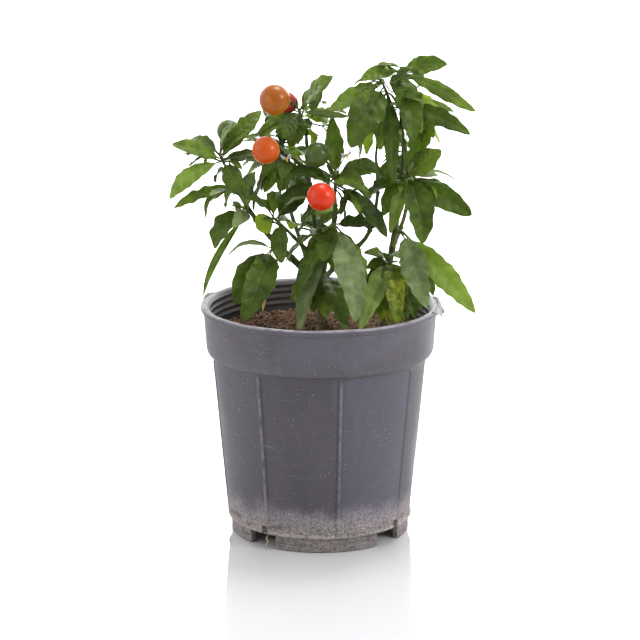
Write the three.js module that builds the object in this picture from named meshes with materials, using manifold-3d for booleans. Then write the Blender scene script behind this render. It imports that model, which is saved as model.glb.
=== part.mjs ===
// A potted ornamental pepper (winter cherry): a small bushy plant with several woody stems, lance-shaped
// leaves crowded at the shoot tips and round berries, growing in a round plastic nursery pot.
// Millimetres, +Z up, origin on the pot's axis at the level the pot stands on. -Y is the front.
import * as THREE from "three";
import { mergeVertices } from "three/addons/utils/BufferGeometryUtils.js";
import Module from "manifold-3d";

const wasm = await Module();
wasm.setup();

// Driving sizes

const GAP = 0.3; // left between neighbouring pieces
const TURN = Math.PI * 2;
const GOLDEN = TURN * 0.381966;

const POT = {
  height: 136.5,
  lipRadius: 70,
  lipDepth: 3.2,
  collarTopRadius: 68.2,
  collarRadius: 67,
  collarDepth: 29.5,
  collarRounding: 5,
  wallTopRadius: 63.6,
  wallFootRadius: 54.6,
  wall: 2.2,
  footRadius: 52.5,
  footHeight: 8.5,
  footWall: 3.6,
  floor: 3,
  segments: 56,
};
const PANEL = { count: 4, first: -34, width: 45, depth: 1.1 }; // sunk panels round the wall, in degrees
const NOTCH = { count: 4, first: -40, width: 19, height: 7.9, slotWidth: 4.2, slotTop: 14 };
const RIDGE = { count: 4, pitch: 3.9, depth: 0.7 }; // rings moulded inside the collar
const SOIL = { level: 118, segments: POT.segments };
const GROUND = SOIL.level + GAP; // where the trunks are cut off flat

const LIMB_SIDES = 7;
const TWIG_SIDES = 3;
const TWIG = { root: 1.0, tip: 0.7 };
const BLADE = { petiole: 0.7, thickness: 0.9, fold: 22, arch: 0.14, widthShare: 0.31 };
const CLEAR = { own: 1.1, other: 1.7 }; // least distance between the blades of two leaves
const SIGHT = { drop: 0.245, shifts: [0, -3, 3, -6, 6, -9, 9, -12, 12, 15, 18] }; // see toldLeaves

// Limbs: the points that each runs through and its radius at foot and tip

const LIMBS = [
  { name: "trunk_right", flare: 0.5, radius: [2.2, 1.15],
    through: [[37, 12, GROUND - 3], [40, 11, 150], [45.5, 8, 190], [48.5, 6, 222], [47, 5, 243]] },
  { name: "trunk_left", flare: 0.5, radius: [2.8, 1.1],
    through: [[2, 10, GROUND - 3], [0, 8, 142], [4, 1, 168], [8.5, -5, 188], [8.5, -7, 201]] },
  { name: "bough_left", radius: [2.4, 1.1],
    through: [[0, 8, 143], [-10, 5, 156], [-24, 2, 170], [-36, -1, 185], [-45, -2, 199]] },
  { name: "bough_upper_left", radius: [1.6, 0.9],
    through: [[2, 5, 156], [-2, 13, 175], [-6, 11, 205], [-8, 7, 235]] },
  { name: "bough_low_left", radius: [1.5, 0.9],
    through: [[3, 3, 162], [-8, -5, 170], [-19, -9, 182]] },
  { name: "bough_inner_left", radius: [1.1, 0.8],
    through: [[-6, 11, 205], [-9, 5, 214], [-14, 2, 221]] },
  { name: "bough_back", radius: [1.7, 0.8],
    through: [[1, 7, 148], [14, 18, 160], [28, 24, 172], [34, 29, 195], [33, 31, 218]] },
  { name: "bough_back_left", radius: [1.6, 0.8],
    through: [[0, 9, 138], [-8, 24, 158], [-18, 38, 186], [-20, 44, 206]] },
  { name: "bough_right_inner", radius: [1.2, 0.8],
    through: [[48, 6, 232], [44, 2, 246], [40, -1, 257]] },
  { name: "bough_back_right", radius: [1.4, 0.8],
    through: [[42, 10, 166], [50, 24, 184], [54, 36, 206]] },
];

// Masses of foliage. stem: how far it reaches from the limb, in mm to the right, back and up.
// Each leaf: place along the stem (0 to 1); where its tip is, in mm; degrees that its upper face is turned
// to the front; width in mm; rise of the midrib as a share of its length.
// Each fruit: place along the stem, its centre, its radius. more: leaves added by the seeded rule,
// their tips inside the ellipsoid given by its centre and half sizes.

const MASSES = [
  { name: "foliage_left_tip", limb: "bough_left", at: 1, stem: [-13, -2, 27], seed: 11,
    leaves: [
      [0.85, -84, -16, 234.5, 50, 12, 0.02], [0.97, -76, 14, 232, 30, 8],
      [0.8, -88, -6, 199.5, 60, 9.5, 0.3], [0.25, -84.5, -14, 196.5, 45, 9, 0.05],
      [0.2, -67, -8, 188, -40, 6, 0.25], [0.6, -61, 8, 207, 35, 7], [0.25, -55.5, 5, 192.5, 60, 9, 0.05],
      [0.75, -44, -22, 204.5, 35, 11], [0.85, -33, -16, 230, 30, 9, 0.02], [0.82, -32, 10, 216, 35, 9],
      [0.92, -34, 8, 249, 50, 11], [0.96, -47, -12, 246, 35, 8], [0.85, -40, 0, 239, 45, 9],
    ],
    fruits: [[0.95, -53, 8, 237, 7]],
    more: 2, space: [[-52, 16, 222], [18, 16, 20]] },
  { name: "foliage_left_low", limb: "bough_left", at: 0.85, stem: [-3, -7, 2], seed: 23,
    leaves: [
      [0.9, -61.5, -14, 172, 35, 15.5, 0.2], [0.5, -68, -6, 142, 65, 4.5, 0.2],
      [0.6, -37.5, -14, 218, 10, 10], [0.9, -50, -22, 186, 30, 9],
    ],
    fruits: [],
    more: 0, space: [[-52, 0, 178], [24, 30, 24]] },
  { name: "foliage_left_foot", limb: "bough_left", at: 0.5, stem: [-5, -8, -1], seed: 31,
    leaves: [
      [1, -50, -22, 141, 50, 18, 0.22], [0.8, -44, -38, 134.5, 30, 18, 0.18],
      [0.6, -33, -28, 138, 0, 4, 0.04], [0.6, -55, 4, 164.5, 10, 6, 0.18],
    ],
    fruits: [],
    more: 0, space: [[-32, -10, 156], [24, 26, 24]] },
  { name: "foliage_upper_left", limb: "bough_upper_left", at: 1, stem: [-4, -4, 15], seed: 47,
    leaves: [
      [1, 6.5, -14, 273, 65, 16, 0.05], [0.95, 17.3, -10, 250, -45, 6, -0.02],
      [0.9, -33.3, 20, 241.5, 25, 12], [0.9, -21.3, -12, 236, 25, 10], [0.7, -17.3, -10, 231, 30, 11],
      [0.85, -36, -8, 237, 45, 10], [0.6, -13, 6, 218, 30, 10], [0.5, -4, 14, 225, 45, 11],
      [0.7, 6, 18, 242, 50, 11], [0.9, -26, 26, 250, 0, 9],
    ],
    fruits: [[1, -26, -14, 259, 8.9], [0.95, -19, 6, 254, 6.3]],
    more: 2, space: [[-16, 18, 240], [18, 16, 12]] },
  { name: "foliage_inner_left", limb: "bough_inner_left", at: 1, stem: [-7, -3, 4], seed: 53,
    leaves: [
      [0.8, -23, -10, 204.5, 30, 10.5], [1, -34, 0, 203, 40, 10.5], [0.9, -43, 10, 222, 35, 9],
      [0.9, -22, -14, 213, 20, 9],
    ],
    fruits: [[1, -31, -18, 230.5, 8]],
    more: 1, space: [[-26, 16, 216], [16, 16, 16]] },
  { name: "foliage_low_inner", limb: "bough_low_left", at: 1, stem: [-8, -3, 8], seed: 61,
    leaves: [
      [0.6, -17, 14, 178.5, 30, 10.5], [1, -44, -20, 203, 30, 9], [0.5, -22, -26, 166, 10, 11, 0.1],
      [0.8, -6, -6, 209, 40, 15, 0.05], [1, -26, 8, 202, 0, 9], [1, -37, -13, 184, 75, 12, 0.05],
    ],
    fruits: [],
    more: 0, space: [[-26, -8, 188], [20, 24, 24]] },
  { name: "foliage_centre", limb: "trunk_left", at: 1, stem: [0.5, -1, 12], seed: 71,
    leaves: [
      [1, 7, 4, 247, 10, 11, -0.04], [1, 39, -10, 213.5, 35, 10, 0.28], [0.95, 25.8, -22, 209, 40, 14],
      [0.5, 39, -20, 180, 25, 13, 0.08], [0.95, -21, -20, 222, 25, 8, 0.05],
      [0.6, -21, 4, 209, 25, 9, 0.15], [0.7, 30, -8, 202, 30, 11, 0.1],
    ],
    fruits: [[1, -1.7, -10, 226.5, 7.4], [0.9, 0.6, -26, 205, 8.2]],
    more: 1, space: [[10, 14, 208], [20, 14, 14]] },
  { name: "foliage_front", limb: "trunk_left", at: 0.72, stem: [0, -8, -1], seed: 83,
    leaves: [
      [0.9, -20.5, -16, 165, 10, 12, 0.1], [1, 1.7, -30, 168, 0, 14, 0.1], [0.9, 8, -22, 162, 5, 12, 0.16],
      [0.7, 21, -38, 134, 0, 16, 0.12], [0.5, 24, -26, 144.5, 10, 12, 0.16],
      [0.5, 32.4, -6, 184, 35, 14, 0.02], [0.8, -14, -44, 129.5, 15, 13, 0.06],
      [0.6, -14, -32, 147, 15, 11, 0.1],
    ],
    fruits: [],
    more: 0, space: [[10, -18, 172], [28, 22, 30]] },
  { name: "foliage_low_front", limb: "trunk_left", at: 0.34, stem: [1, -9, 3], seed: 97,
    leaves: [
      [0.9, 14, -46, 131.5, 0, 13, 0.14], [0.7, -17, -10, 139, 25, 11, 0.2],
      [0.9, -6, -26, 140, 10, 10, 0.1],
    ],
    fruits: [],
    more: 1, space: [[2, 10, 144], [20, 20, 14]] },
  { name: "foliage_right_top", limb: "trunk_right", at: 1, stem: [0, -2, 32], seed: 101,
    leaves: [
      [1, 73, -4, 278, 55, 11, 0.03], [0.88, 89.5, -12, 252.5, 50, 8.5, 0.05],
      [0.35, 86, -18, 240, 40, 10.5, 0.02], [0.92, 22.5, -8, 268.5, 35, 10, 0.1],
      [1, 33, 2, 276.5, 25, 7, 0.02], [0.9, 23, 12, 266, 20, 9, 0.06], [0.9, 53, -24, 236, 0, 15, 0.1],
      [0.3, 60, 8, 225, 30, 13, 0.08], [0.5, 73.5, 12, 242, 45, 12, 0.06], [0.45, 39, -10, 268, 0, 6],
      [0.42, 79, 8, 249.5, 75, 6, 0.02], [0.25, 71, 24, 228, 50, 12, 0.05], [0.8, 60, 28, 262, 0, 10],
      [0.85, 44, 26, 256, 0, 9],
    ],
    fruits: [],
    more: 1, space: [[52, 16, 246], [16, 18, 14]] },
  { name: "foliage_right_inner", limb: "bough_right_inner", at: 1, stem: [-5, -3, 12], seed: 113,
    leaves: [
      [0.85, 4.7, -10, 253, 50, 12, -0.02], [0.6, 17.2, -20, 232, 30, 19, 0.1],
      [0.4, 22.4, 14, 237, 40, 11], [0.8, 14.6, 6, 246, 35, 10, 0.02], [0.3, 23, 10, 219.5, 45, 12, 0.06],
      [0.3, 42, -14, 210.5, 0, 9, 0.05],
    ],
    fruits: [],
    more: 1, space: [[26, 14, 240], [12, 14, 14]] },
  { name: "foliage_right_mid", limb: "trunk_right", at: 0.66, stem: [3, -8, 1], seed: 127,
    leaves: [
      [0.9, 59.7, -20, 176, 5, 17.5, 0.1], [0.6, 87.5, -6, 190.5, 75, 15, -0.1],
      [1, 70, -6, 228.5, 65, 13, 0.07], [0.5, 81, 20, 205.5, 15, 5, 0.12], [0.9, 36, -8, 190, 35, 12],
      [1, 40, -18, 181.5, 15, 8], [0.6, 27, 4, 196.5, 40, 11, 0.16],
    ],
    fruits: [],
    more: 1, space: [[52, 14, 196], [14, 14, 14]] },
  { name: "foliage_right_low", limb: "trunk_right", at: 0.42, stem: [5, -8, 1], seed: 139,
    leaves: [
      [1, 90, -20, 135, 50, 14.5, 0.06], [0.8, 61.5, -30, 140.5, 20, 15, 0.1],
      [0.6, 67, -6, 142, 40, 13, 0.08],
    ],
    fruits: [],
    more: 0, space: [[64, 0, 164], [26, 28, 22]] },
  { name: "foliage_right_foot", limb: "trunk_right", at: 0.3, stem: [-1, -7, 3], seed: 149,
    leaves: [
      [1, 22.5, -50, 132.5, 20, 12, 0.1], [0.8, 50.5, -14, 144, 20, 10], [0.6, 56, -14, 130, 20, 11],
      [0.9, 35.5, -34, 134, 0, 12, 0.2], [0.7, 44.8, -34, 130.5, 0, 12, 0.2], [0.9, 24, -16, 141, 20, 10],
      [0.9, 46, -18, 167, 20, 9], [0.6, 25, -8, 169, 30, 9, 0.2],
    ],
    fruits: [],
    more: 1, space: [[44, 12, 146], [14, 16, 14]] },
  { name: "foliage_back", limb: "bough_back", at: 1, stem: [2, 2, 16], seed: 163,
    leaves: [],
    fruits: [[0.9, 25, 46, 231, 7]],
    more: 12, space: [[36, 42, 226], [22, 26, 24]] },
  { name: "foliage_back_left", limb: "bough_back_left", at: 1, stem: [-2, 4, 18], seed: 179,
    leaves: [],
    fruits: [[0.9, -27, 52, 243, 7.4], [0.3, -12, 54, 197, 7]],
    more: 14, space: [[-24, 42, 212], [28, 26, 30]] },
  { name: "foliage_back_right", limb: "bough_back_right", at: 1, stem: [2, 5, 14], seed: 191,
    leaves: [],
    fruits: [[0.9, 48, 50, 203, 7.2]],
    more: 11, space: [[50, 42, 198], [19, 26, 26]] },
  { name: "foliage_back_low", limb: "bough_back_left", at: 0.5, stem: [3, 9, 3], seed: 199,
    leaves: [],
    fruits: [],
    more: 8, space: [[-4, 42, 172], [28, 25, 22]] },
];

// Small helpers

const vec = (p) => new THREE.Vector3(...p);
const UP = new THREE.Vector3(0, 0, 1);
const lerp = THREE.MathUtils.lerp;
const rad = THREE.MathUtils.degToRad;

// mulberry32: the same short rule gives the same plant anywhere.
function seeded(seed) {
  let state = seed >>> 0;
  return () => {
    state = (state + 0x6d2b79f5) >>> 0;
    let t = state;
    t = Math.imul(t ^ (t >>> 15), t | 1);
    t ^= t + Math.imul(t ^ (t >>> 7), t | 61);
    return ((t ^ (t >>> 14)) >>> 0) / 4294967296;
  };
}

// Solids and geometry

function toSolid(geometry) {
  const bare = geometry.index ? geometry.toNonIndexed() : geometry.clone();
  const only = new THREE.BufferGeometry().setAttribute("position", bare.getAttribute("position"));
  const merged = mergeVertices(only, 1e-4);
  return new wasm.Manifold(new wasm.Mesh({
    numProp: 3,
    vertProperties: new Float32Array(merged.attributes.position.array),
    triVerts: new Uint32Array(merged.index.array),
  }));
}

function toGeometry(solid) {
  const mesh = solid.getMesh();
  const positions = new Float32Array(mesh.numVert * 3);
  for (let i = 0; i < mesh.numVert; i++) {
    positions.set(mesh.vertProperties.subarray(i * mesh.numProp, i * mesh.numProp + 3), i * 3);
  }
  return new THREE.BufferGeometry()
    .setAttribute("position", new THREE.BufferAttribute(positions, 3))
    .setIndex(new THREE.BufferAttribute(mesh.triVerts, 1));
}

const biggestBody = (solid) => solid.decompose().sort((a, b) => b.volume() - a.volume())[0];

// A closed skin over rings that all have the same number of points. A ring of one point closes an end.
function loft(rings) {
  const points = rings.flat();
  const starts = [];
  let next = 0;
  for (const ring of rings) {
    starts.push(next);
    next += ring.length;
  }
  const faces = [];
  const sides = Math.max(...rings.map((ring) => ring.length));
  for (let k = 0; k + 1 < rings.length; k++) {
    const [a, b] = [starts[k], starts[k + 1]];
    for (let i = 0; i < sides; i++) {
      const j = (i + 1) % sides;
      if (rings[k].length === 1) faces.push(a, b + j, b + i);
      else if (rings[k + 1].length === 1) faces.push(a + i, a + j, b);
      else faces.push(a + i, a + j, b + j, a + i, b + j, b + i);
    }
  }
  const last = starts[rings.length - 1];
  for (let i = 1; i + 1 < sides; i++) {
    if (rings[0].length > 1) faces.push(0, i + 1, i);
    if (rings[rings.length - 1].length > 1) faces.push(last, last + i, last + i + 1);
  }
  return new THREE.BufferGeometry()
    .setAttribute("position", new THREE.Float32BufferAttribute(points.flatMap((p) => p.toArray()), 3))
    .setIndex(faces);
}

// A tapering tube along a curve. grow makes it fatter and longer all round.
function tube(curve, radiusAt, sides, steps, grow = 0) {
  const rings = [];
  let across = null;
  for (let k = 0; k <= steps; k++) {
    const t = k / steps;
    const tangent = curve.getTangent(t);
    if (!across) across = new THREE.Vector3(1, 0.2, 0).cross(tangent);
    across.addScaledVector(tangent, -across.dot(tangent)).normalize();
    const other = tangent.clone().cross(across);
    const centre = curve.getPoint(t);
    if (k === 0) centre.addScaledVector(tangent, -grow);
    if (k === steps) centre.addScaledVector(tangent, grow);
    const r = radiusAt(t) + grow;
    rings.push(Array.from({ length: sides }, (_, i) => {
      const a = (TURN * i) / sides;
      return centre.clone().addScaledVector(across, r * Math.cos(a)).addScaledVector(other, r * Math.sin(a));
    }));
  }
  return loft(rings);
}

// Pot

function potProfile() {
  const p = POT;
  const lipFoot = p.height - p.lipDepth;
  const collarFoot = p.height - p.collarDepth;
  const inner = (r) => r - p.wall;
  const floorTop = p.footHeight + p.floor;
  const outline = [
    [0, p.footHeight], [p.footRadius - p.footWall, p.footHeight], [p.footRadius - p.footWall, 0],
    [p.footRadius, 0], [p.footRadius, p.footHeight], [p.wallFootRadius - 0.8, p.footHeight + 0.4],
    [p.wallFootRadius, floorTop], [p.wallTopRadius, collarFoot],
    [p.collarRadius, collarFoot + p.collarRounding], [p.collarTopRadius, lipFoot - 1],
    [p.lipRadius, lipFoot], [p.lipRadius, p.height - 0.6], [p.lipRadius - 0.6, p.height],
    [inner(p.lipRadius) - 1.2, p.height],
  ];
  const collarInside = inner(p.collarRadius) + 0.9;
  for (let i = 0; i < RIDGE.count; i++) {
    const z = p.height - 1 - RIDGE.pitch * (i + 0.5);
    outline.push([collarInside - RIDGE.depth, z], [collarInside, z - RIDGE.pitch * 0.45]);
  }
  outline.push(
    [collarInside, collarFoot + p.collarRounding], [inner(p.wallTopRadius), collarFoot],
    [inner(p.wallFootRadius), floorTop], [0, floorTop],
  );
  return outline;
}

const lathe = (outline, segments) =>
  toSolid(new THREE.LatheGeometry(outline.map(([r, z]) => new THREE.Vector2(r, z)), segments)
    .rotateX(Math.PI / 2));

// A flat slice of pie, between two angles measured from the front towards the right.
function slice(from, to, radius, low, high) {
  const turn = (degrees) => rad(degrees) - Math.PI / 2;
  const shape = new THREE.Shape();
  shape.moveTo(0, 0);
  shape.lineTo(radius * Math.cos(turn(from)), radius * Math.sin(turn(from)));
  shape.absarc(0, 0, radius, turn(from), turn(to), false);
  shape.closePath();
  const settings = { depth: high - low, bevelEnabled: false, curveSegments: 8 };
  return toSolid(new THREE.ExtrudeGeometry(shape, settings).translate(0, 0, low));
}

// A box that crosses the wall at an angle measured from the front towards the right.
function wallBox(angle, width, low, high) {
  const box = new THREE.BoxGeometry(width, 24, high - low).translate(0, -POT.footRadius, (low + high) / 2);
  return toSolid(box.rotateZ(rad(angle)));
}

function makePot() {
  const p = POT;
  let pot = lathe(potProfile(), p.segments);
  const low = p.footHeight + 1;
  const high = p.height - p.collarDepth - 1;
  const slope = (p.wallTopRadius - p.wallFootRadius) / (p.height - p.collarDepth - p.footHeight - p.floor);
  const faceAt = (z) => p.wallFootRadius + slope * (z - p.footHeight - p.floor) - PANEL.depth;
  const skin = lathe([
    [faceAt(low), low], [90, low], [90, high], [faceAt(high), high], [faceAt(low), low],
  ], p.segments);
  for (let i = 0; i < PANEL.count; i++) {
    const from = PANEL.first + (i * 360) / PANEL.count;
    pot = pot.subtract(skin.intersect(slice(from, from + PANEL.width, 95, low - 1, high + 1)));
  }
  for (let i = 0; i < NOTCH.count; i++) {
    const angle = NOTCH.first + (i * 360) / NOTCH.count;
    pot = pot.subtract(wallBox(angle, NOTCH.width, -1, NOTCH.height));
    pot = pot.subtract(wallBox(angle + 4, NOTCH.slotWidth, NOTCH.height - 1, p.footHeight + 0.9));
  }
  return pot;
}

function makeSoil() {
  const p = POT;
  const collarFoot = p.height - p.collarDepth;
  const inner = (r) => r - p.wall - GAP;
  return lathe([
    [0, p.footHeight + p.floor + GAP], [inner(p.wallFootRadius), p.footHeight + p.floor + GAP],
    [inner(p.wallTopRadius), collarFoot + 0.2],
    [inner(p.collarRadius) + 0.7, collarFoot + p.collarRounding + 0.2],
    [inner(p.collarRadius) + 0.2, SOIL.level], [0, SOIL.level],
  ], SOIL.segments);
}

// Limbs

function limbShape(limb) {
  const curve = new THREE.CatmullRomCurve3(limb.through.map(vec), false, "catmullrom", 0.5);
  const length = curve.getLength();
  const flareLength = 7;
  const radiusAt = (t) => lerp(limb.radius[0], limb.radius[1], t)
    * (1 + (limb.flare ?? 0) * Math.exp((-t * length) / flareLength));
  const steps = limb.through.length * 3;
  return { ...limb, curve, radiusAt, steps };
}

// Leaves. A leaf is its midrib, a curve that arches from root to tip, and a blade folded along it.

function makeLeaf(root, tip, turn = 0, width = null, arch = BLADE.arch) {
  const span = tip.clone().sub(root);
  const length = span.length();
  const chord = span.clone().normalize();
  const level = Math.hypot(chord.x, chord.y);
  const heading = level > 0.02
    ? new THREE.Vector3(chord.x / level, chord.y / level, 0)
    : new THREE.Vector3(0, -1, 0);
  const flatSide = UP.clone().cross(heading);
  const top = chord.clone().cross(flatSide).normalize();
  const roll = rad(turn) * (heading.x >= 0 ? 1 : -1);
  const side = flatSide.multiplyScalar(Math.cos(roll)).addScaledVector(top, Math.sin(roll));
  const bulge = chord.clone().cross(side).normalize();
  const middle = root.clone().addScaledVector(span, 0.5).addScaledVector(bulge, 2 * arch * length);
  const curve = new THREE.QuadraticBezierCurve3(root, middle, tip);
  return { curve, side, length, width: width ?? BLADE.widthShare * length, tip };
}

// Half width of the blade as a share of its widest, at a share of the way from root to tip.
const STATIONS = [[0, 0], [0.15, 0], [0.42, 0.97], [0.72, 0.8], [1, 0]];

function widthShareAt(t) {
  const k = Math.max(1, STATIONS.findIndex(([station]) => t <= station));
  const [[t0, w0], [t1, w1]] = [STATIONS[k - 1], STATIONS[k]];
  return lerp(w0, w1, (t - t0) / (t1 - t0));
}

function bladeSection(leaf, t, share) {
  const centre = leaf.curve.getPoint(t);
  const tangent = leaf.curve.getTangent(t);
  const up = tangent.clone().cross(leaf.side).normalize();
  const half = Math.max(BLADE.petiole, (share * leaf.width) / 2);
  const lift = share > 0 ? half * Math.sin(rad(BLADE.fold)) : 0;
  const out = share > 0 ? half * Math.cos(rad(BLADE.fold)) : half;
  return {
    left: centre.clone().addScaledVector(leaf.side, out).addScaledVector(up, lift),
    right: centre.clone().addScaledVector(leaf.side, -out).addScaledVector(up, lift),
    centre,
    up,
  };
}

function leafSolid(leaf) {
  const rings = STATIONS.map(([t, share]) => {
    if (t === 1) return [leaf.tip];
    const s = bladeSection(leaf, t, share);
    const half = BLADE.thickness / 2;
    const upper = s.centre.clone().addScaledVector(s.up, half);
    const lower = s.centre.clone().addScaledVector(s.up, -half);
    return [s.left, upper, s.right, lower];
  });
  const made = toSolid(loft(rings));
  return made.volume() < 0 ? toSolid(loft(rings.map((ring) => [...ring].reverse()))) : made;
}

// The blade's middle surface as triangles, and points spread over it, to keep leaves off each other.
function bladeNet(leaf) {
  const triangles = [];
  const sections = STATIONS.map(([t, share]) => bladeSection(leaf, t, share));
  for (let k = 0; k + 1 < sections.length; k++) {
    const [a, b] = [sections[k], sections[k + 1]];
    for (const edge of ["left", "right"]) {
      triangles.push(new THREE.Triangle(a.centre, a[edge], b[edge]));
      triangles.push(new THREE.Triangle(a.centre, b[edge], b.centre));
    }
  }
  const points = [];
  const count = Math.ceil(leaf.length / 3);
  for (let i = 0; i <= count; i++) {
    const t = i / count;
    const s = bladeSection(leaf, t, widthShareAt(t));
    for (const share of [-1, -0.5, 0, 0.5, 1]) {
      const edge = share < 0 ? s.left : s.right;
      points.push({ t, at: s.centre.clone().lerp(edge, Math.abs(share)) });
    }
  }
  const box = new THREE.Box3().setFromPoints(points.map((p) => p.at));
  return { triangles, points, box };
}

const nearest = new THREE.Vector3();
function distanceToNet(point, net) {
  let best = Infinity;
  for (const triangle of net.triangles) {
    triangle.closestPointToPoint(point, nearest);
    best = Math.min(best, nearest.distanceTo(point));
  }
  return best;
}

const NEAR_ROOT = 0.3; // the stretch of a leaf that may come near its own mass's other leaves

function leavesTouch(a, b) {
  const own = a.mass === b.mass;
  const clear = own ? CLEAR.own : CLEAR.other;
  const reach = b.net.box.clone().expandByScalar(clear);
  if (!reach.intersectsBox(a.net.box)) return false;
  return a.net.points.some(({ t, at }) =>
    !(own && t < NEAR_ROOT) && reach.containsPoint(at) && distanceToNet(at, b.net) < clear);
}

// Whether a leaf is clear of the pot, the soil, the limbs, the stems and the fruits.
function hitsWood(leaf, tubes, fruits) {
  return leaf.net.points.some(({ t, at }) => {
    const r = Math.hypot(at.x, at.y);
    if (r < POT.lipRadius + 2 && at.z < SOIL.level + 2) return true;
    if (at.z < POT.height + 2 && r > POT.collarRadius - POT.wall - 3 && r < POT.lipRadius + 2) return true;
    const free = t > NEAR_ROOT;
    return tubes.some((wood) => (wood.owner !== leaf.mass || free) && wood.mesh.some((p) =>
      p.at.distanceTo(at) < p.r + (wood.owner === leaf.mass ? 0.8 : 1.6)))
      || fruits.some((f) => (f.mass !== leaf.mass || free) && f.centre.distanceTo(at) < f.radius + 1.2);
  });
}

const beads = (curve, radiusAt) => {
  const count = Math.ceil(curve.getLength() / 1.2);
  return Array.from({ length: count + 1 }, (_, i) => {
    const share = i / count;
    return { at: curve.getPoint(share), r: radiusAt(share) };
  });
};

// Twigs and fruits of one mass

function stemShape(mass, limbs) {
  const limb = limbs.find((l) => l.name === mass.limb);
  const start = limb.curve.getPoint(mass.at);
  const end = start.clone().add(vec(mass.stem));
  const along = limb.curve.getTangent(mass.at);
  const middle = start.clone().lerp(end, 0.5)
    .addScaledVector(along, mass.at === 1 ? 0.12 * start.distanceTo(end) : 0);
  const curve = new THREE.QuadraticBezierCurve3(start, middle, end);
  const radiusAt = (t) => lerp(TWIG.root, TWIG.tip, t);
  return { curve, radiusAt };
}

function fruitShape(mass, stem, [at, x, y, z, radius]) {
  const root = stem.curve.getPoint(at);
  const centre = new THREE.Vector3(x, y, z);
  const away = centre.clone().sub(root);
  const middle = root.clone().addScaledVector(away, 0.5).addScaledVector(UP, 0.15 * away.length());
  return { mass: mass.name, radius, centre, curve: new THREE.QuadraticBezierCurve3(root, middle, centre) };
}

// A told leaf that would touch another is tried again with its tip nearer or farther along the line on
// which it is seen, which drops towards the back.
function toldLeaves(stem, [at, x, y, z, turn, width, arch]) {
  const root = stem.curve.getPoint(at);
  return SIGHT.shifts.map((shift) =>
    makeLeaf(root, new THREE.Vector3(x, y + shift, z - SIGHT.drop * shift), turn, width, arch));
}

// The seeded rule: leaf after leaf up the stem by the golden angle, each with a few tries at a free place.
const RULE = { tries: 10, length: [24, 38], pitch: [-0.75, 0.55] };

function* ruleLeaves(mass, stem) {
  const random = seeded(mass.seed);
  for (let i = 0; i < mass.more; i++) {
    const options = [];
    for (let k = 0; k < RULE.tries; k++) {
      const at = lerp(0.35, 1, random());
      const azimuth = i * GOLDEN + mass.seed + k * 1.1 + random();
      const pitch = lerp(RULE.pitch[0], RULE.pitch[1], random());
      const length = lerp(RULE.length[0], RULE.length[1], random());
      const turn = lerp(-30, 45, random());
      const reach = new THREE.Vector3().setFromSphericalCoords(length, Math.PI / 2 - pitch, azimuth);
      const root = stem.curve.getPoint(at);
      options.push(makeLeaf(root, root.clone().add(new THREE.Vector3(reach.x, reach.z, reach.y)), turn));
    }
    yield options;
  }
}

function insideSpace(leaf, [centre, half]) {
  const off = leaf.tip.clone().sub(vec(centre)).divide(vec(half));
  return off.length() <= 1;
}

// Everything is placed first, the told leaves before the leaves of the rule, and then made solid.

function growPlant(limbs) {
  const tubes = limbs.map((limb) => ({ owner: limb.name, mesh: beads(limb.curve, limb.radiusAt) }));
  const fruits = [];
  const leaves = [];
  const stems = new Map(MASSES.map((mass) => [mass.name, stemShape(mass, limbs)]));
  for (const mass of MASSES) {
    const stem = stems.get(mass.name);
    tubes.push({ owner: mass.name, mesh: beads(stem.curve, stem.radiusAt) });
    for (const told of mass.fruits) fruits.push(fruitShape(mass, stem, told));
  }
  const fits = (leaf) => !leaves.some((other) => leavesTouch(leaf, other) || leavesTouch(other, leaf))
    && !hitsWood(leaf, tubes, fruits);
  const ready = (leaf, mass) => Object.assign(leaf, { mass: mass.name, net: bladeNet(leaf) });
  for (const mass of MASSES) {
    for (const told of mass.leaves) {
      const leaf = toldLeaves(stems.get(mass.name), told).find((option) => fits(ready(option, mass)));
      if (leaf) leaves.push(leaf);
    }
  }
  for (const mass of MASSES) {
    for (const options of ruleLeaves(mass, stems.get(mass.name))) {
      const leaf = options.find((o) => insideSpace(o, mass.space) && fits(ready(o, mass)));
      if (leaf) leaves.push(leaf);
    }
  }
  return { stems, fruits, leaves };
}

function massSolid(mass, plant, limbs) {
  const stem = plant.stems.get(mass.name);
  let solid = toSolid(tube(stem.curve, stem.radiusAt, TWIG_SIDES, 4));
  for (const fruit of plant.fruits.filter((f) => f.mass === mass.name)) {
    solid = solid.add(toSolid(tube(fruit.curve, () => 0.6, TWIG_SIDES, 3)));
    const ball = new THREE.IcosahedronGeometry(fruit.radius, 1).translate(...fruit.centre.toArray());
    solid = solid.add(toSolid(ball));
  }
  for (const leaf of plant.leaves.filter((l) => l.mass === mass.name)) solid = solid.add(leafSolid(leaf));
  for (const limb of limbs) {
    solid = solid.subtract(toSolid(tube(limb.curve, limb.radiusAt, LIMB_SIDES, limb.steps, GAP + 0.1)));
  }
  return biggestBody(solid);
}

// Colours

const FINISH = {
  pot: new THREE.MeshStandardMaterial({ color: 0x655f6a, roughness: 0.6, metalness: 0 }),
  soil: new THREE.MeshStandardMaterial({ color: 0x52432f, roughness: 1, metalness: 0 }),
  bark: new THREE.MeshStandardMaterial({ color: 0x5a6436, roughness: 0.85, metalness: 0 }),
  foliage: new THREE.MeshStandardMaterial({
    color: 0x53742c, roughness: 0.5, metalness: 0, side: THREE.DoubleSide,
  }),
};

// The plant

const plantGroup = new THREE.Group();

function addNode(name, solid, material) {
  const mesh = new THREE.Mesh(toGeometry(solid), material);
  mesh.name = name;
  plantGroup.add(mesh);
}

addNode("pot", makePot(), FINISH.pot);
addNode("soil", makeSoil(), FINISH.soil);

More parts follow.
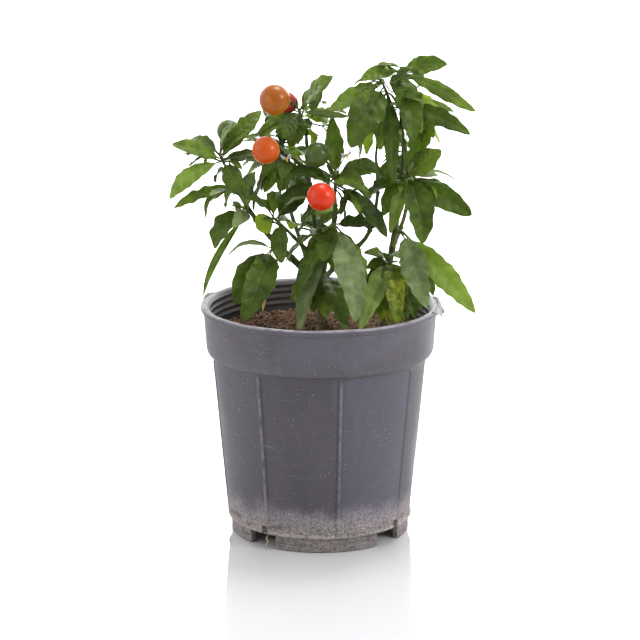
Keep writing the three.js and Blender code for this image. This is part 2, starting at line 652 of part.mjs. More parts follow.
const limbs = LIMBS.map(limbShape);
const cutters = [];
for (const limb of limbs) {
  let solid = toSolid(tube(limb.curve, limb.radiusAt, LIMB_SIDES, limb.steps)).trimByPlane([0, 0, 1], GROUND);
  for (const cutter of cutters) solid = solid.subtract(cutter);
  addNode(limb.name, biggestBody(solid), FINISH.bark);
  cutters.push(toSolid(tube(limb.curve, limb.radiusAt, LIMB_SIDES, limb.steps, GAP + 0.1)));
}

const plant = growPlant(limbs);
for (const mass of MASSES) addNode(mass.name, massSolid(mass, plant, limbs), FINISH.foliage);

export default plantGroup;
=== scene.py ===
"""Looks for the potted winter cherry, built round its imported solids.

The pot and the soil are made again as fine meshes, the trunk and boughs get their bark, and every mass
of foliage is grown again by the rule that made its solid, then carried on to finer twigs.
Tables are in millimetres in the part's own frame (+Z up, -Y the front); Blender works in metres.
"""
import math
from collections import namedtuple

import bpy
import numpy as np
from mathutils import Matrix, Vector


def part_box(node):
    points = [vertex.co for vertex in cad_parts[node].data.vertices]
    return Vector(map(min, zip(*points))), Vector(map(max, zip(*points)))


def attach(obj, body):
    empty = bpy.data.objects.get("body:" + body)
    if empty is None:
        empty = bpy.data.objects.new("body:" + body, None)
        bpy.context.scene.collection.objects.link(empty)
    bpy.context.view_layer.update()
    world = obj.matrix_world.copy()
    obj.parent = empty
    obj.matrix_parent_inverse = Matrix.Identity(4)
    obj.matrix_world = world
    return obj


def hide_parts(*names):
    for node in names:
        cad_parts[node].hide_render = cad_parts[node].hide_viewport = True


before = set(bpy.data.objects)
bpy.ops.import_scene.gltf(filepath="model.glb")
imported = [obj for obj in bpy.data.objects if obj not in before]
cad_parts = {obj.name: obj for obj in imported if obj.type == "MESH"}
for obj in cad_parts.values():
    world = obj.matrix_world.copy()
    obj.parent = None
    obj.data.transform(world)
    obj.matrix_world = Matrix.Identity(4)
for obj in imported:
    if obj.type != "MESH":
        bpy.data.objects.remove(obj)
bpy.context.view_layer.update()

MM = 0.001
TURN = 2 * math.pi
GOLDEN = TURN * 0.381966
UP = np.array([0.0, 0.0, 1.0])


def add_object(name, data):
    made = bpy.data.objects.new(name, data)
    bpy.context.scene.collection.objects.link(made)
    return made


# Camera, fitted to the photograph, which is 640 pixels square

PHOTO_SIZE = 640
CAMERA = {"at": (0.0, -1500.0, 494.0), "pitch": 13.775, "focal": 2630.0}  # mm, degrees down, pixels
SENSOR = 36.0

camera_data = bpy.data.cameras.new("camera")
camera_data.sensor_width = SENSOR
camera_data.lens = SENSOR * CAMERA["focal"] / PHOTO_SIZE
camera_data.clip_end = 50
camera = add_object("camera", camera_data)
camera.location = [MM * value for value in CAMERA["at"]]
camera.rotation_euler = (math.radians(90 - CAMERA["pitch"]), 0, 0)
bpy.context.scene.camera = camera


def in_photo(points):
    """Where points, in mm, are seen in the photograph, in pixels from its top left."""
    away = np.atleast_2d(points) - np.array(CAMERA["at"])
    sine, cosine = math.sin(math.radians(CAMERA["pitch"])), math.cos(math.radians(CAMERA["pitch"]))
    depth = away[:, 1] * cosine - away[:, 2] * sine
    rise = away[:, 2] * cosine + away[:, 1] * sine
    scale = CAMERA["focal"] / depth
    return np.stack([PHOTO_SIZE / 2 + away[:, 0] * scale, PHOTO_SIZE / 2 - rise * scale], axis=1)


# Driving sizes, the same as in the part's source

POT = {"height": 136.5, "collar_depth": 29.5, "wall_top": 63.6, "wall_foot": 54.6, "foot": 52.5,
       "foot_height": 8.5, "floor": 3.0}
PANEL = {"first": -34.0, "width": 45.0, "depth": 1.1}
NOTCH = {"count": 4, "first": -40.0, "width": 19.0}
RIDGE = {"count": 4, "pitch": 3.9, "depth": 0.7}
SOIL_LEVEL = 118.0
GROUND = 118.3
TWIG = {"root": 1.0, "tip": 0.7}
SIGHT = {"drop": 0.245, "shifts": (0, -3, 3, -6, 6, -9, 9, -12, 12, 15, 18)}
RULE = {"tries": 10, "length": (24, 38), "pitch": (-0.75, 0.55)}

LIMBS = [  # name, flare at the foot, radius at foot and tip, points that it passes
    ("trunk_right", 0.5, (2.2, 1.15),
     [(37, 12, GROUND - 3), (40, 11, 150), (45.5, 8, 190), (48.5, 6, 222), (47, 5, 243)]),
    ("trunk_left", 0.5, (2.8, 1.1),
     [(2, 10, GROUND - 3), (0, 8, 142), (4, 1, 168), (8.5, -5, 188), (8.5, -7, 201)]),
    ("bough_left", 0, (2.4, 1.1),
     [(0, 8, 143), (-10, 5, 156), (-24, 2, 170), (-36, -1, 185), (-45, -2, 199)]),
    ("bough_upper_left", 0, (1.6, 0.9), [(2, 5, 156), (-2, 13, 175), (-6, 11, 205), (-8, 7, 235)]),
    ("bough_low_left", 0, (1.5, 0.9), [(3, 3, 162), (-8, -5, 170), (-19, -9, 182)]),
    ("bough_inner_left", 0, (1.1, 0.8), [(-6, 11, 205), (-9, 5, 214), (-14, 2, 221)]),
    ("bough_back", 0, (1.7, 0.8), [(1, 7, 148), (14, 18, 160), (28, 24, 172), (34, 29, 195), (33, 31, 218)]),
    ("bough_back_left", 0, (1.6, 0.8), [(0, 9, 138), (-8, 24, 158), (-18, 38, 186), (-20, 44, 206)]),
    ("bough_right_inner", 0, (1.2, 0.8), [(48, 6, 232), (44, 2, 246), (40, -1, 257)]),
    ("bough_back_right", 0, (1.4, 0.8), [(42, 10, 166), (50, 24, 184), (54, 36, 206)]),
]

# Masses of foliage. Each told leaf: place along the stem, its tip, degrees its upper face is turned to
# the front, width, rise of the midrib as a share of its length. tints: one letter for each told leaf,
# from TINTS, partly painted light and shade. Each fruit: place along the stem, its centre, its radius, its
# colour.

Mass = namedtuple("Mass", "name limb at stem seed more tints fruits leaves")
MASSES = [Mass(*row) for row in [
    ("left_tip", "bough_left", 1, (-13, -2, 27), 11, 2, "mdlmmdldddmmm", [(0.95, -53, 8, 237, 7, "green")], [
        (0.85, -84, -16, 234.5, 50, 12, 0.02), (0.97, -76, 14, 232, 30, 8),
        (0.8, -88, -6, 199.5, 60, 9.5, 0.3), (0.25, -84.5, -14, 196.5, 45, 9, 0.05),
        (0.2, -67, -8, 188, -40, 6, 0.25), (0.6, -61, 8, 207, 35, 7), (0.25, -55.5, 5, 192.5, 60, 9, 0.05),
        (0.75, -44, -22, 204.5, 35, 11), (0.85, -33, -16, 230, 30, 9, 0.02), (0.82, -32, 10, 216, 35, 9),
        (0.92, -34, 8, 249, 50, 11), (0.96, -47, -12, 246, 35, 8), (0.85, -40, 0, 239, 45, 9)]),
    ("left_low", "bough_left", 0.85, (-3, -7, 2), 23, 0, "dmdg", [], [
        (0.9, -61.5, -14, 172, 35, 15.5, 0.2), (0.5, -68, -6, 142, 65, 4.5, 0.2),
        (0.6, -37.5, -14, 218, 10, 10), (0.9, -50, -22, 186, 30, 9)]),
    ("left_foot", "bough_left", 0.5, (-5, -8, -1), 31, 0, "ddog", [], [
        (1, -50, -22, 141, 50, 18, 0.22), (0.8, -44, -38, 134.5, 30, 18, 0.18),
        (0.6, -33, -28, 138, 0, 4, 0.04), (0.6, -55, 4, 164.5, 10, 6, 0.18)]),
    ("upper_left", "bough_upper_left", 1, (-4, -4, 15), 47, 2, "mgmddmbbbm",
     [(1, -26, -14, 259, 8.9, "amber"), (0.95, -19, 6, 254, 6.3, "pink")], [
        (1, 6.5, -14, 273, 65, 16, 0.05), (0.95, 17.3, -10, 250, -45, 6, -0.02),
        (0.9, -33.3, 20, 241.5, 25, 12), (0.9, -21.3, -12, 236, 25, 10), (0.7, -17.3, -10, 231, 30, 11),
        (0.85, -36, -8, 237, 45, 10), (0.6, -13, 6, 218, 30, 10), (0.5, -4, 14, 225, 45, 11),
        (0.7, 6, 18, 242, 50, 11), (0.9, -26, 26, 250, 0, 9)]),
    ("inner_left", "bough_inner_left", 1, (-7, -3, 4), 53, 1, "dmdd", [(1, -31, -18, 230.5, 8, "orange")], [
        (0.8, -23, -10, 204.5, 30, 10.5), (1, -34, 0, 203, 40, 10.5), (0.9, -43, 10, 222, 35, 9),
        (0.9, -22, -14, 213, 20, 9)]),
    ("low_inner", "bough_low_left", 1, (-8, -3, 8), 61, 0, "bddkmb", [], [
        (0.6, -17, 14, 178.5, 30, 10.5), (1, -44, -20, 203, 30, 9), (0.5, -22, -26, 166, 10, 11, 0.1),
        (0.8, -6, -6, 209, 40, 15, 0.05), (1, -26, 8, 202, 0, 9), (1, -37, -13, 184, 75, 12, 0.05)]),
    ("centre", "trunk_left", 1, (0.5, -1, 12), 71, 1, "mdmkdgm",
     [(1, -1.7, -10, 226.5, 7.4, "green"), (0.9, 0.6, -26, 205, 8.2, "red")], [
        (1, 7, 4, 247, 10, 11, -0.04), (1, 39, -10, 213.5, 35, 10, 0.28), (0.95, 25.8, -22, 209, 40, 14),
        (0.5, 39, -20, 180, 25, 13, 0.08), (0.95, -21, -20, 222, 25, 8, 0.05),
        (0.6, -21, 4, 209, 25, 9, 0.15), (0.7, 30, -8, 202, 30, 11, 0.1)]),
    ("front", "trunk_left", 0.72, (0, -8, -1), 83, 0, "mdmgmkgd", [], [
        (0.9, -20.5, -16, 165, 10, 12, 0.1), (1, 1.7, -30, 168, 0, 14, 0.1), (0.9, 8, -22, 162, 5, 12, 0.16),
        (0.7, 21, -38, 134, 0, 16, 0.12), (0.5, 24, -26, 144.5, 10, 12, 0.16),
        (0.5, 32.4, -6, 184, 35, 14, 0.02), (0.8, -14, -44, 129.5, 15, 13, 0.06),
        (0.6, -14, -32, 147, 15, 11, 0.1)]),
    ("low_front", "trunk_left", 0.34, (1, -9, 3), 97, 1, "dmm", [], [
        (0.9, 14, -46, 131.5, 0, 13, 0.14), (0.7, -17, -10, 139, 25, 11, 0.2),
        (0.9, -6, -26, 140, 10, 10, 0.1)]),
    ("right_top", "trunk_right", 1, (0, -2, 32), 101, 1, "mmdmmmdbbmmbmm", [], [
        (1, 73, -4, 278, 55, 11, 0.03), (0.88, 89.5, -12, 252.5, 50, 8.5, 0.05),
        (0.35, 86, -18, 240, 40, 10.5, 0.02), (0.92, 22.5, -8, 268.5, 35, 10, 0.1),
        (1, 33, 2, 276.5, 25, 7, 0.02), (0.9, 23, 12, 266, 20, 9, 0.06), (0.9, 53, -24, 236, 0, 15, 0.1),
        (0.3, 60, 8, 225, 30, 13, 0.08), (0.5, 73.5, 12, 242, 45, 12, 0.06), (0.45, 39, -10, 268, 0, 6),
        (0.42, 79, 8, 249.5, 75, 6, 0.02), (0.25, 71, 24, 228, 50, 12, 0.05), (0.8, 60, 28, 262, 0, 10),
        (0.85, 44, 26, 256, 0, 9)]),
    ("right_inner", "bough_right_inner", 1, (-5, -3, 12), 113, 1, "ldbmld", [], [
        (0.85, 4.7, -10, 253, 50, 12, -0.02), (0.6, 17.2, -20, 232, 30, 19, 0.1),
        (0.4, 22.4, 14, 237, 40, 11), (0.8, 14.6, 6, 246, 35, 10, 0.02), (0.3, 23, 10, 219.5, 45, 12, 0.06),
        (0.3, 42, -14, 210.5, 0, 9, 0.05)]),
    ("right_mid", "trunk_right", 0.66, (3, -8, 1), 127, 1, "ddmmmmd", [], [
        (0.9, 59.7, -20, 176, 5, 17.5, 0.1), (0.6, 87.5, -6, 190.5, 75, 15, -0.1),
        (1, 70, -6, 228.5, 65, 13, 0.07), (0.5, 81, 20, 205.5, 15, 5, 0.12), (0.9, 36, -8, 190, 35, 12),
        (1, 40, -18, 181.5, 15, 8), (0.6, 27, 4, 196.5, 40, 11, 0.16)]),
    ("right_low", "trunk_right", 0.42, (5, -8, 1), 139, 0, "lgd", [], [
        (1, 90, -20, 135, 50, 14.5, 0.06), (0.8, 61.5, -30, 140.5, 20, 15, 0.1),
        (0.6, 67, -6, 142, 40, 13, 0.08)]),
    ("right_foot", "trunk_right", 0.3, (-1, -7, 3), 149, 1, "lddyydmm", [], [
        (1, 22.5, -50, 132.5, 20, 12, 0.1), (0.8, 50.5, -14, 144, 20, 10), (0.6, 56, -14, 130, 20, 11),
        (0.9, 35.5, -34, 134, 0, 12, 0.2), (0.7, 44.8, -34, 130.5, 0, 12, 0.2), (0.9, 24, -16, 141, 20, 10),
        (0.9, 46, -18, 167, 20, 9), (0.6, 25, -8, 169, 30, 9, 0.2)]),
    ("back", "bough_back", 1, (2, 2, 16), 163, 12, "", [(0.9, 25, 46, 231, 7, "green")], []),
    ("back_left", "bough_back_left", 1, (-2, 4, 18), 179, 14, "",
     [(0.9, -27, 52, 243, 7.4, "green"), (0.3, -12, 54, 197, 7, "green")], []),
    ("back_right", "bough_back_right", 1, (2, 5, 14), 191, 11, "", [(0.9, 48, 50, 203, 7.2, "green")], []),
    ("back_low", "bough_back_left", 0.5, (3, 9, 3), 199, 8, "", [], []),
]]

# Told leaves that are too small or too many for the solids: mass, tint, the same seven values

FILLERS = [
    ("right_inner", "b", 0.3, 26.5, 10, 223, 0, 12, 0.06),
    ("right_inner", "l", 0.15, 34.5, 8, 226, -10, 11, 0.05),
    ("right_top", "d", 0.4, 66, 2, 234, 40, 11, 0.05), ("right_top", "m", 0.55, 58, -14, 240, 10, 9, 0.03),
    ("low_front", "l", 0.8, 3, -24, 133, 0, 12, 0.1), ("low_front", "m", 0.5, -4, -20, 136, 0, 9, 0.1),
    ("low_front", "d", 0.6, 12, -18, 134, 0, 11, 0.1), ("right_foot", "y", 0.5, 40, -32, 131, 0, 12, 0.12),
    ("right_foot", "d", 0.3, 50, -18, 128, 10, 12, 0.12), ("right_foot", "d", 0.2, 60, -4, 133, 20, 12, 0.12),
    ("right_foot", "m", 0.2, 31, -14, 132, 0, 10, 0.12),
    ("inner_left", "d", 0.8, -38.5, -2, 191.5, 20, 9, 0.12),
    ("low_inner", "b", 0.6, -18, 2, 185.5, 20, 7, 0.08), ("centre", "d", 0.3, -11.6, -10, 187, 20, 10, 0.05),
    ("upper_left", "b", 0.7, -6.5, 8, 235, 20, 9, 0.05), ("right_inner", "m", 0.3, 21.5, 0, 228, 10, 10, 0.1),
    ("right_inner", "b", 0.2, 38, 4, 232, 0, 10, 0.08), ("right_top", "s", 0.3, 62.5, 2, 228, 30, 13, 0.1),
    ("right_foot", "m", 0.3, 26.8, -4, 158, 30, 8, 0.1), ("right_foot", "l", 0.5, 28, -8, 146, 10, 9, 0.1),
    ("centre", "d", 0.4, 14, -6, 188, 15, 10, 0.1), ("centre", "m", 0.2, -9, -2, 190, 0, 10, 0.08),
    ("left_low", "l", 0.3, -52, 0, 195, 0, 9, 0.08), ("upper_left", "d", 0.8, -38, 0, 236.5, 20, 9, 0.1),
    ("right_mid", "s", 0.9, 68, 0, 249.5, 60, 13, 0.05),
]

# Thin flower stalks: mass, place along its stem, points that the stalk passes, and what it ends in

STALKS = [
    ("upper_left", 1.0, [(-9, -5, 254), (-3.5, -8, 257), (1.5, -8, 256.6)], "bud"),
    ("upper_left", 0.9, [(-11, -6, 252), (-8, -9, 253)], "bud"),
    ("centre", 1.0, [(11, -9, 219), (15, -8, 226.5)], "flower"),
    ("centre", 0.9, [(13, -9, 216), (19.5, -9, 222)], "bud"),
    ("inner_left", 1.0, [(-20.5, -6, 226), (-19.5, -9, 225)], "flower"),
    ("right_mid", 1.0, [(48.5, -9, 224), (46, -12, 239)], "bud"),
    ("right_mid", 1.0, [(49.5, -9, 224), (49.5, -12, 241)], "bud"),
    ("right_mid", 1.0, [(50.5, -8, 223), (53.5, -11, 237.5)], "bud"),
    ("right_top", 0.2, [(57, 3, 247), (66, 1, 246), (70.5, 0, 244)], "bud"),
    ("right_top", 0.6, [(41, -3, 262), (36.5, -6, 268)], "bud"),
    ("right_top", 0.7, [(42, -3, 268), (38.5, -6, 275)], "bud"),
    ("left_tip", 0.9, [(-62, -4, 228), (-65.5, -6, 223)], "bud"),
    ("right_low", 0.9, [(60, -4, 165), (66, -5, 164)], "bud"),
    ("back", 0.9, [(38, 36, 236), (42, 38, 240)], "flower"),
    ("back_left", 0.9, [(-28, 48, 226), (-34, 50, 229)], "flower"),
    ("back_right", 0.9, [(60, 44, 222), (64, 46, 226)], "bud"),
]

SKY = [  # places that stay open between the leaves, in the photograph's pixels: x, y, radius
    (210, 150, 6), (238, 147, 6), (250, 148, 5), (249, 169, 5), (264, 186, 5), (281, 175, 5), (293, 174, 5),
    (246, 201, 5), (257, 205, 6), (243, 232, 6), (255, 232, 5), (272, 198, 4), (270, 128, 6), (293, 123, 4),
    (275, 228, 6), (301, 233, 5), (313, 220, 6), (295, 251, 5), (348, 228, 6), (358, 229, 5), (368, 246, 6),
    (380, 245, 7), (370, 262, 4), (382, 266, 4), (405, 231, 5), (399, 242, 4), (322, 265, 3), (320, 275, 4),
    (394, 278, 4), (383, 277, 3), (352, 104, 6), (343, 124, 5), (387, 80, 6), (385, 108, 6), (372, 150, 5),
    (360, 156, 3), (378, 155, 5), (418, 90, 5), (428, 94, 6), (437, 92, 4), (422, 106, 4), (434, 106, 4),
    (402, 125, 3), (270, 254, 8),
]
SPRAY = {"near": 5.5, "clear": 1.25, "twig": (5, 12), "leaves": (3, 5), "length": (10, 21), "tries": 5,
         "over_soil": 2.5, "rim": 62, "over_rim": 3, "from_wood": 0.7}
BUD_LEAVES = {"count": 7, "shortest": 4.5, "longer": 1.2, "spread": 0.35, "wider": 0.12}
SOIL_BED = {"radius": 64.6, "foot": 111.0, "crumbs": 2600, "crumb_reach": 63.2}
LEAF = {"wider": 1.06, "petiole": 0.5, "blade_start": 0.12, "peak": 0.868, "fullness": 0.66}
PETAL = {"count": 5, "length": 4.2, "width": 2.2}

# Colours. Leaves by letter: how the upper face looks under a soft light. Each told leaf's letter is partly
# its own green
# and partly painted light and shade: darker letters (d, k) for leaves that stand in shade, lighter ones (l,
# b) for leaves in the light, b for leaves lit from behind, and g partly for a painted grey sheen.

TINTS = {
    "d": ("leaf_dark", (76, 97, 30)), "m": ("leaf_mid", (97, 120, 38)),
    "l": ("leaf_light", (122, 142, 72)), "b": ("leaf_backlit", (142, 162, 60)),
    "g": ("leaf_grey", (126, 143, 96)), "k": ("leaf_deep", (66, 84, 36)),
    "y": ("leaf_yellow", (104, 124, 44)), "o": ("leaf_dry", (178, 156, 98)),
    "s": ("leaf_spotted", (108, 130, 52)),
}
TINT_ORDER = "".join(TINTS)
UNDER = len(TINT_ORDER)
PATCHES = {"y": "yellow", "s": "brown"}
THIN = "lbys"  # these let more light through and look the same from below
RIB_SHARE = 0.03  # of a leaf's texture width, on each side of its midrib
BERRY_COLOURS = {  # the skin, the colour that clouds over it, how far that reaches
    "amber": ((152, 78, 0), (184, 116, 4), 0.85),
    "orange": ((190, 74, 0), (194, 90, 4), 0.5),
    "red": ((206, 44, 2), (212, 66, 6), 0.5),
    "pink": ((166, 52, 36), (180, 86, 54), 0.5),
    "green": ((60, 80, 28), (92, 108, 42), 0.7),
}
BERRY_ORDER = list(BERRY_COLOURS)


# Seeded numbers: mulberry32, as in the part's source

def seeded(seed):
    state = [seed & 0xFFFFFFFF]

    def draw(low=0.0, high=1.0):
        state[0] = (state[0] + 0x6D2B79F5) & 0xFFFFFFFF
        t = state[0]
        t = ((t ^ (t >> 15)) * (t | 1)) & 0xFFFFFFFF
        t ^= (t + (((t ^ (t >> 7)) * (t | 61)) & 0xFFFFFFFF)) & 0xFFFFFFFF
        return low + (high - low) * ((t ^ (t >> 14)) / 4294967296)

    return draw


def unit(vector):
    return vector / max(np.linalg.norm(vector), 1e-9)


def lerp(low, high, share):
    return low + (high - low) * share


def smooth(low, high, value):
    share = np.clip((value - low) / (high - low), 0, 1)
    return share * share * (3 - 2 * share)


# Curves: functions of a share from 0 to 1 (a number or an array) that give points

def bezier(first, middle, last):
    def at(share):
        s = np.asarray(share, float)[..., None]
        return (1 - s) ** 2 * first + 2 * s * (1 - s) * middle + s ** 2 * last
    return at


def through_points(rows):
    """Catmull-Rom through the rows, with ends carried on straight."""
    points = np.array(rows, float)
    padded = np.vstack([2 * points[0] - points[1], points, 2 * points[-1] - points[-2]])
    spans = len(points) - 1

    def at(share):
        place = np.clip(np.asarray(share, float), 0, 1) * spans
        k = np.minimum(place.astype(int), spans - 1)
        s = (place - k)[..., None]
        before, a, b, after = (padded[k + i] for i in range(4))
        leave, reach = 0.5 * (b - before), 0.5 * (after - a)
        bend, turn = 3 * (b - a) - 2 * leave - reach, 2 * (a - b) + leave + reach
        return a + leave * s + bend * s ** 2 + turn * s ** 3
    return at


def tangent_of(curve, share, step=1e-4):
    ahead, behind = np.clip(share + step, 0, 1), np.clip(share - step, 0, 1)
    way = curve(ahead) - curve(behind)
    return way / np.maximum(np.linalg.norm(way, axis=-1, keepdims=True), 1e-12)


def length_of(curve, steps=60):
    points = curve(np.linspace(0, 1, steps + 1))
    return float(np.linalg.norm(np.diff(points, axis=0), axis=1).sum())


def heading_of(azimuth, pitch):
    """A direction, by its turn from +Y towards +X and its rise."""
    level = math.cos(pitch)
    return np.array([level * math.sin(azimuth), level * math.cos(azimuth), math.sin(pitch)])


def spread_from(way, aside, around, spread):
    """The direction way, tilted by spread radians to the side that around picks, counted from aside."""
    other = np.cross(way, aside)
    return way * math.cos(spread) + (aside * math.cos(around) + other * math.sin(around)) * math.sin(spread)


# Pieces: meshes gathered from many small parts

class Piece:
    """Vertices in mm, faces, a finish for each face and a texture place for each vertex."""

    def __init__(self, name, finishes):
        self.name = name
        self.finishes = finishes
        self.points, self.places, self.faces, self.slots = [], [], [], []
        self.count = 0

    def add(self, points, faces, finish, places=None):
        """finish is one index for all faces or one for each."""
        points = np.asarray(points, float).reshape(-1, 3)
        self.points.append(points)
        self.places.append(np.zeros((len(points), 2)) if places is None else places)
        self.faces.extend([tuple(int(i) + self.count for i in face) for face in faces])
        self.slots.extend([finish] * len(faces) if isinstance(finish, int) else list(finish))
        self.count += len(points)

    def add_sheet(self, top, under, slot, flip=False):
        """A thin sheet, from a grid of points for each of its two sides."""
        rows, columns = top.shape[:2]
        faces = grid_faces(rows, columns, flip=flip)
        faces += grid_faces(rows, columns, start=rows * columns, flip=not flip)
        self.add(np.vstack([top.reshape(-1, 3), under.reshape(-1, 3)]), faces, slot)

    def make(self, slot, stands_for=(), sharp=None):
        mesh = bpy.data.meshes.new(self.name)
        mesh.from_pydata((np.vstack(self.points) * MM).tolist(), [], self.faces)
        mesh.polygons.foreach_set("material_index", self.slots)
        mesh.polygons.foreach_set("use_smooth", [True] * len(self.faces))
        corners = np.zeros(len(mesh.loops), int)
        mesh.loops.foreach_get("vertex_index", corners)
        layer = mesh.uv_layers.new(name="place")
        layer.data.foreach_set("uv", np.vstack(self.places)[corners].ravel().astype(np.float32))
        for finish in self.finishes:
            mesh.materials.append(finish)
        if sharp:
            mesh.set_sharp_from_angle(angle=math.radians(sharp))
        mesh.update()
        made = add_object(self.name, mesh)
        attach(made, "root")
        if stands_for:
            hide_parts(*stands_for)


def grid_faces(rows, columns, start=0, closed=False, flip=False):
    """Four-cornered faces over a grid of rows x columns points; closed joins the last column to the first."""
    faces = []
    for i in range(rows - 1):
        for j in range(columns if closed else columns - 1):
            k = (j + 1) % columns
            a, b = start + i * columns, start + (i + 1) * columns
            faces.append((a + j, a + k, b + k, b + j) if flip else (a + j, b + j, b + k, a + k))
    return faces


def shell_faces(rows, columns, flip=True):
    """Faces over closed rings, and fans that join the end rings to the two points that follow them."""
    faces = grid_faces(rows, columns, closed=True, flip=flip)
    first, last = rows * columns, rows * columns + 1
    end = (rows - 1) * columns
    for j in range(columns):
        k = (j + 1) % columns
        fans = [(first, k, j), (last, end + j, end + k)]
        faces += fans if flip else [(first, j, k), (last, end + k, end + j)]
    return faces


def add_tube(piece, points, radii, sides, finish, relief=0.0):
    """A round tube with closed ends. relief is a share of the radius for each ring and side."""
    points = np.asarray(points, float)
    way = np.gradient(points, axis=0)
    way /= np.maximum(np.linalg.norm(way, axis=1, keepdims=True), 1e-12)
    aside = np.cross((1, 0.2, 0), way[0])
    across = []
    for tangent in way:
        aside = unit(aside - tangent * np.dot(aside, tangent))
        across.append(aside)
    across = np.array(across)
    other = np.cross(way, across)
    angle = np.linspace(0, TURN, sides, endpoint=False)
    reach = np.asarray(radii, float)[:, None] * np.ones(sides) * (1 + relief)
    ring = (points[:, None] + across[:, None] * (reach * np.cos(angle))[..., None]
            + other[:, None] * (reach * np.sin(angle))[..., None])
    caps = [points[0] - way[0] * radii[0] * 0.4, points[-1] + way[-1] * radii[-1] * 0.6]
    rows = len(points)
    along = np.concatenate([[0], np.cumsum(np.linalg.norm(np.diff(points, axis=0), axis=1))])
    places = np.stack([np.tile(angle / TURN, rows), np.repeat(along / 20, sides)], axis=1)
    places = np.vstack([places, [[0.5, 0]], [[0.5, along[-1] / 20]]])
    piece.add(np.vstack([ring.reshape(-1, 3), caps]), shell_faces(rows, sides), finish, places)


# Materials. Colours are sRGB, from 0 to 255; places and depths are in metres.

def from_srgb(colour):
    def one(value):
        share = value / 255
        return share / 12.92 if share <= 0.04045 else ((share + 0.055) / 1.055) ** 2.4
    return tuple(one(value) for value in colour) + (1.0,)


def shade(colour, factor):
    return tuple(min(255, value * factor) for value in colour)


class Signal:
    """A node's output. Sums, products and the like of signals become maths nodes."""

    def __init__(self, finish, socket):
        self.finish = finish
        self.socket = socket

    def math(self, operation, *others):
        return self.finish.node("ShaderNodeMath", (self, *others), operation=operation)

    def __add__(self, other):
        return self.math("ADD", other)

    def __sub__(self, other):
        return self.math("SUBTRACT", other)

    def __mul__(self, other):
        return self.math("MULTIPLY", other)

    def ramp(self, low, high, out_low=0.0, out_high=1.0):
        """Runs smoothly from out_low, where the signal is low, to out_high, where it is high."""
        return self.finish.node("ShaderNodeMapRange", (self, low, high, out_low, out_high),
                                interpolation_type="SMOOTHSTEP")


class Finish:
    """A material painted one layer over another, in self.base."""

    def __init__(self, name):
        self.material = bpy.data.materials.new(name)
        self.material.use_nodes = True
        self.tree = self.material.node_tree
        self.shader = self.tree.nodes["Principled BSDF"]
        self.place = self.node("ShaderNodeTexCoord", output="Object")

    def node(self, kind, inputs=(), output=0, **settings):
        """One output of a new node, whose inputs are given in order or, as a dict, by name."""
        made = self.tree.nodes.new(kind)
        for key, value in settings.items():
            setattr(made, key, value)
        for key, value in inputs.items() if isinstance(inputs, dict) else enumerate(inputs):
            self.put(made.inputs[key], value)
        return Signal(self, made.outputs[output])

    def put(self, socket, value):
        if isinstance(value, Signal):
            self.tree.links.new(value.socket, socket)
        else:
            socket.default_value = from_srgb(value) if socket.type == "RGBA" else value

    def parts(self, vector):
        split = self.node("ShaderNodeSeparateXYZ", (vector,)).socket.node
        return [Signal(self, socket) for socket in split.outputs]

    def noise(self, scale, detail=3, roughness=0.55, stretch=None):
        where = self.place
        if stretch:
            where = self.node("ShaderNodeMapping", {"Vector": where, "Scale": stretch})
        return self.node("ShaderNodeTexNoise", {
            "Vector": where, "Scale": scale, "Detail": detail, "Roughness": roughness})

    def cells(self, scale):
        return self.node("ShaderNodeTexVoronoi", {"Vector": self.place, "Scale": scale})

    def mix(self, share, first, second):
        return self.node("ShaderNodeMix", {0: share, 6: first, 7: second}, output=2, data_type="RGBA")

    def clouds(self, share, colour, low, high):
        """The first layer: two shades of one colour."""
        self.base = self.mix(share, shade(colour, low), shade(colour, high))

    def paint(self, share, colour):
        self.base = self.mix(share, self.base, colour)

    def bump(self, height, strength, distance):
        return self.node("ShaderNodeBump", {"Height": height, "Strength": strength, "Distance": distance})

    def done(self, **values):
        """Puts the values on the shader's own sockets, over the painted base."""
        for key, value in {"Base_Color": self.base, **values}.items():
            self.put(self.shader.inputs[key.replace("_", " ")], value)
        return self.material


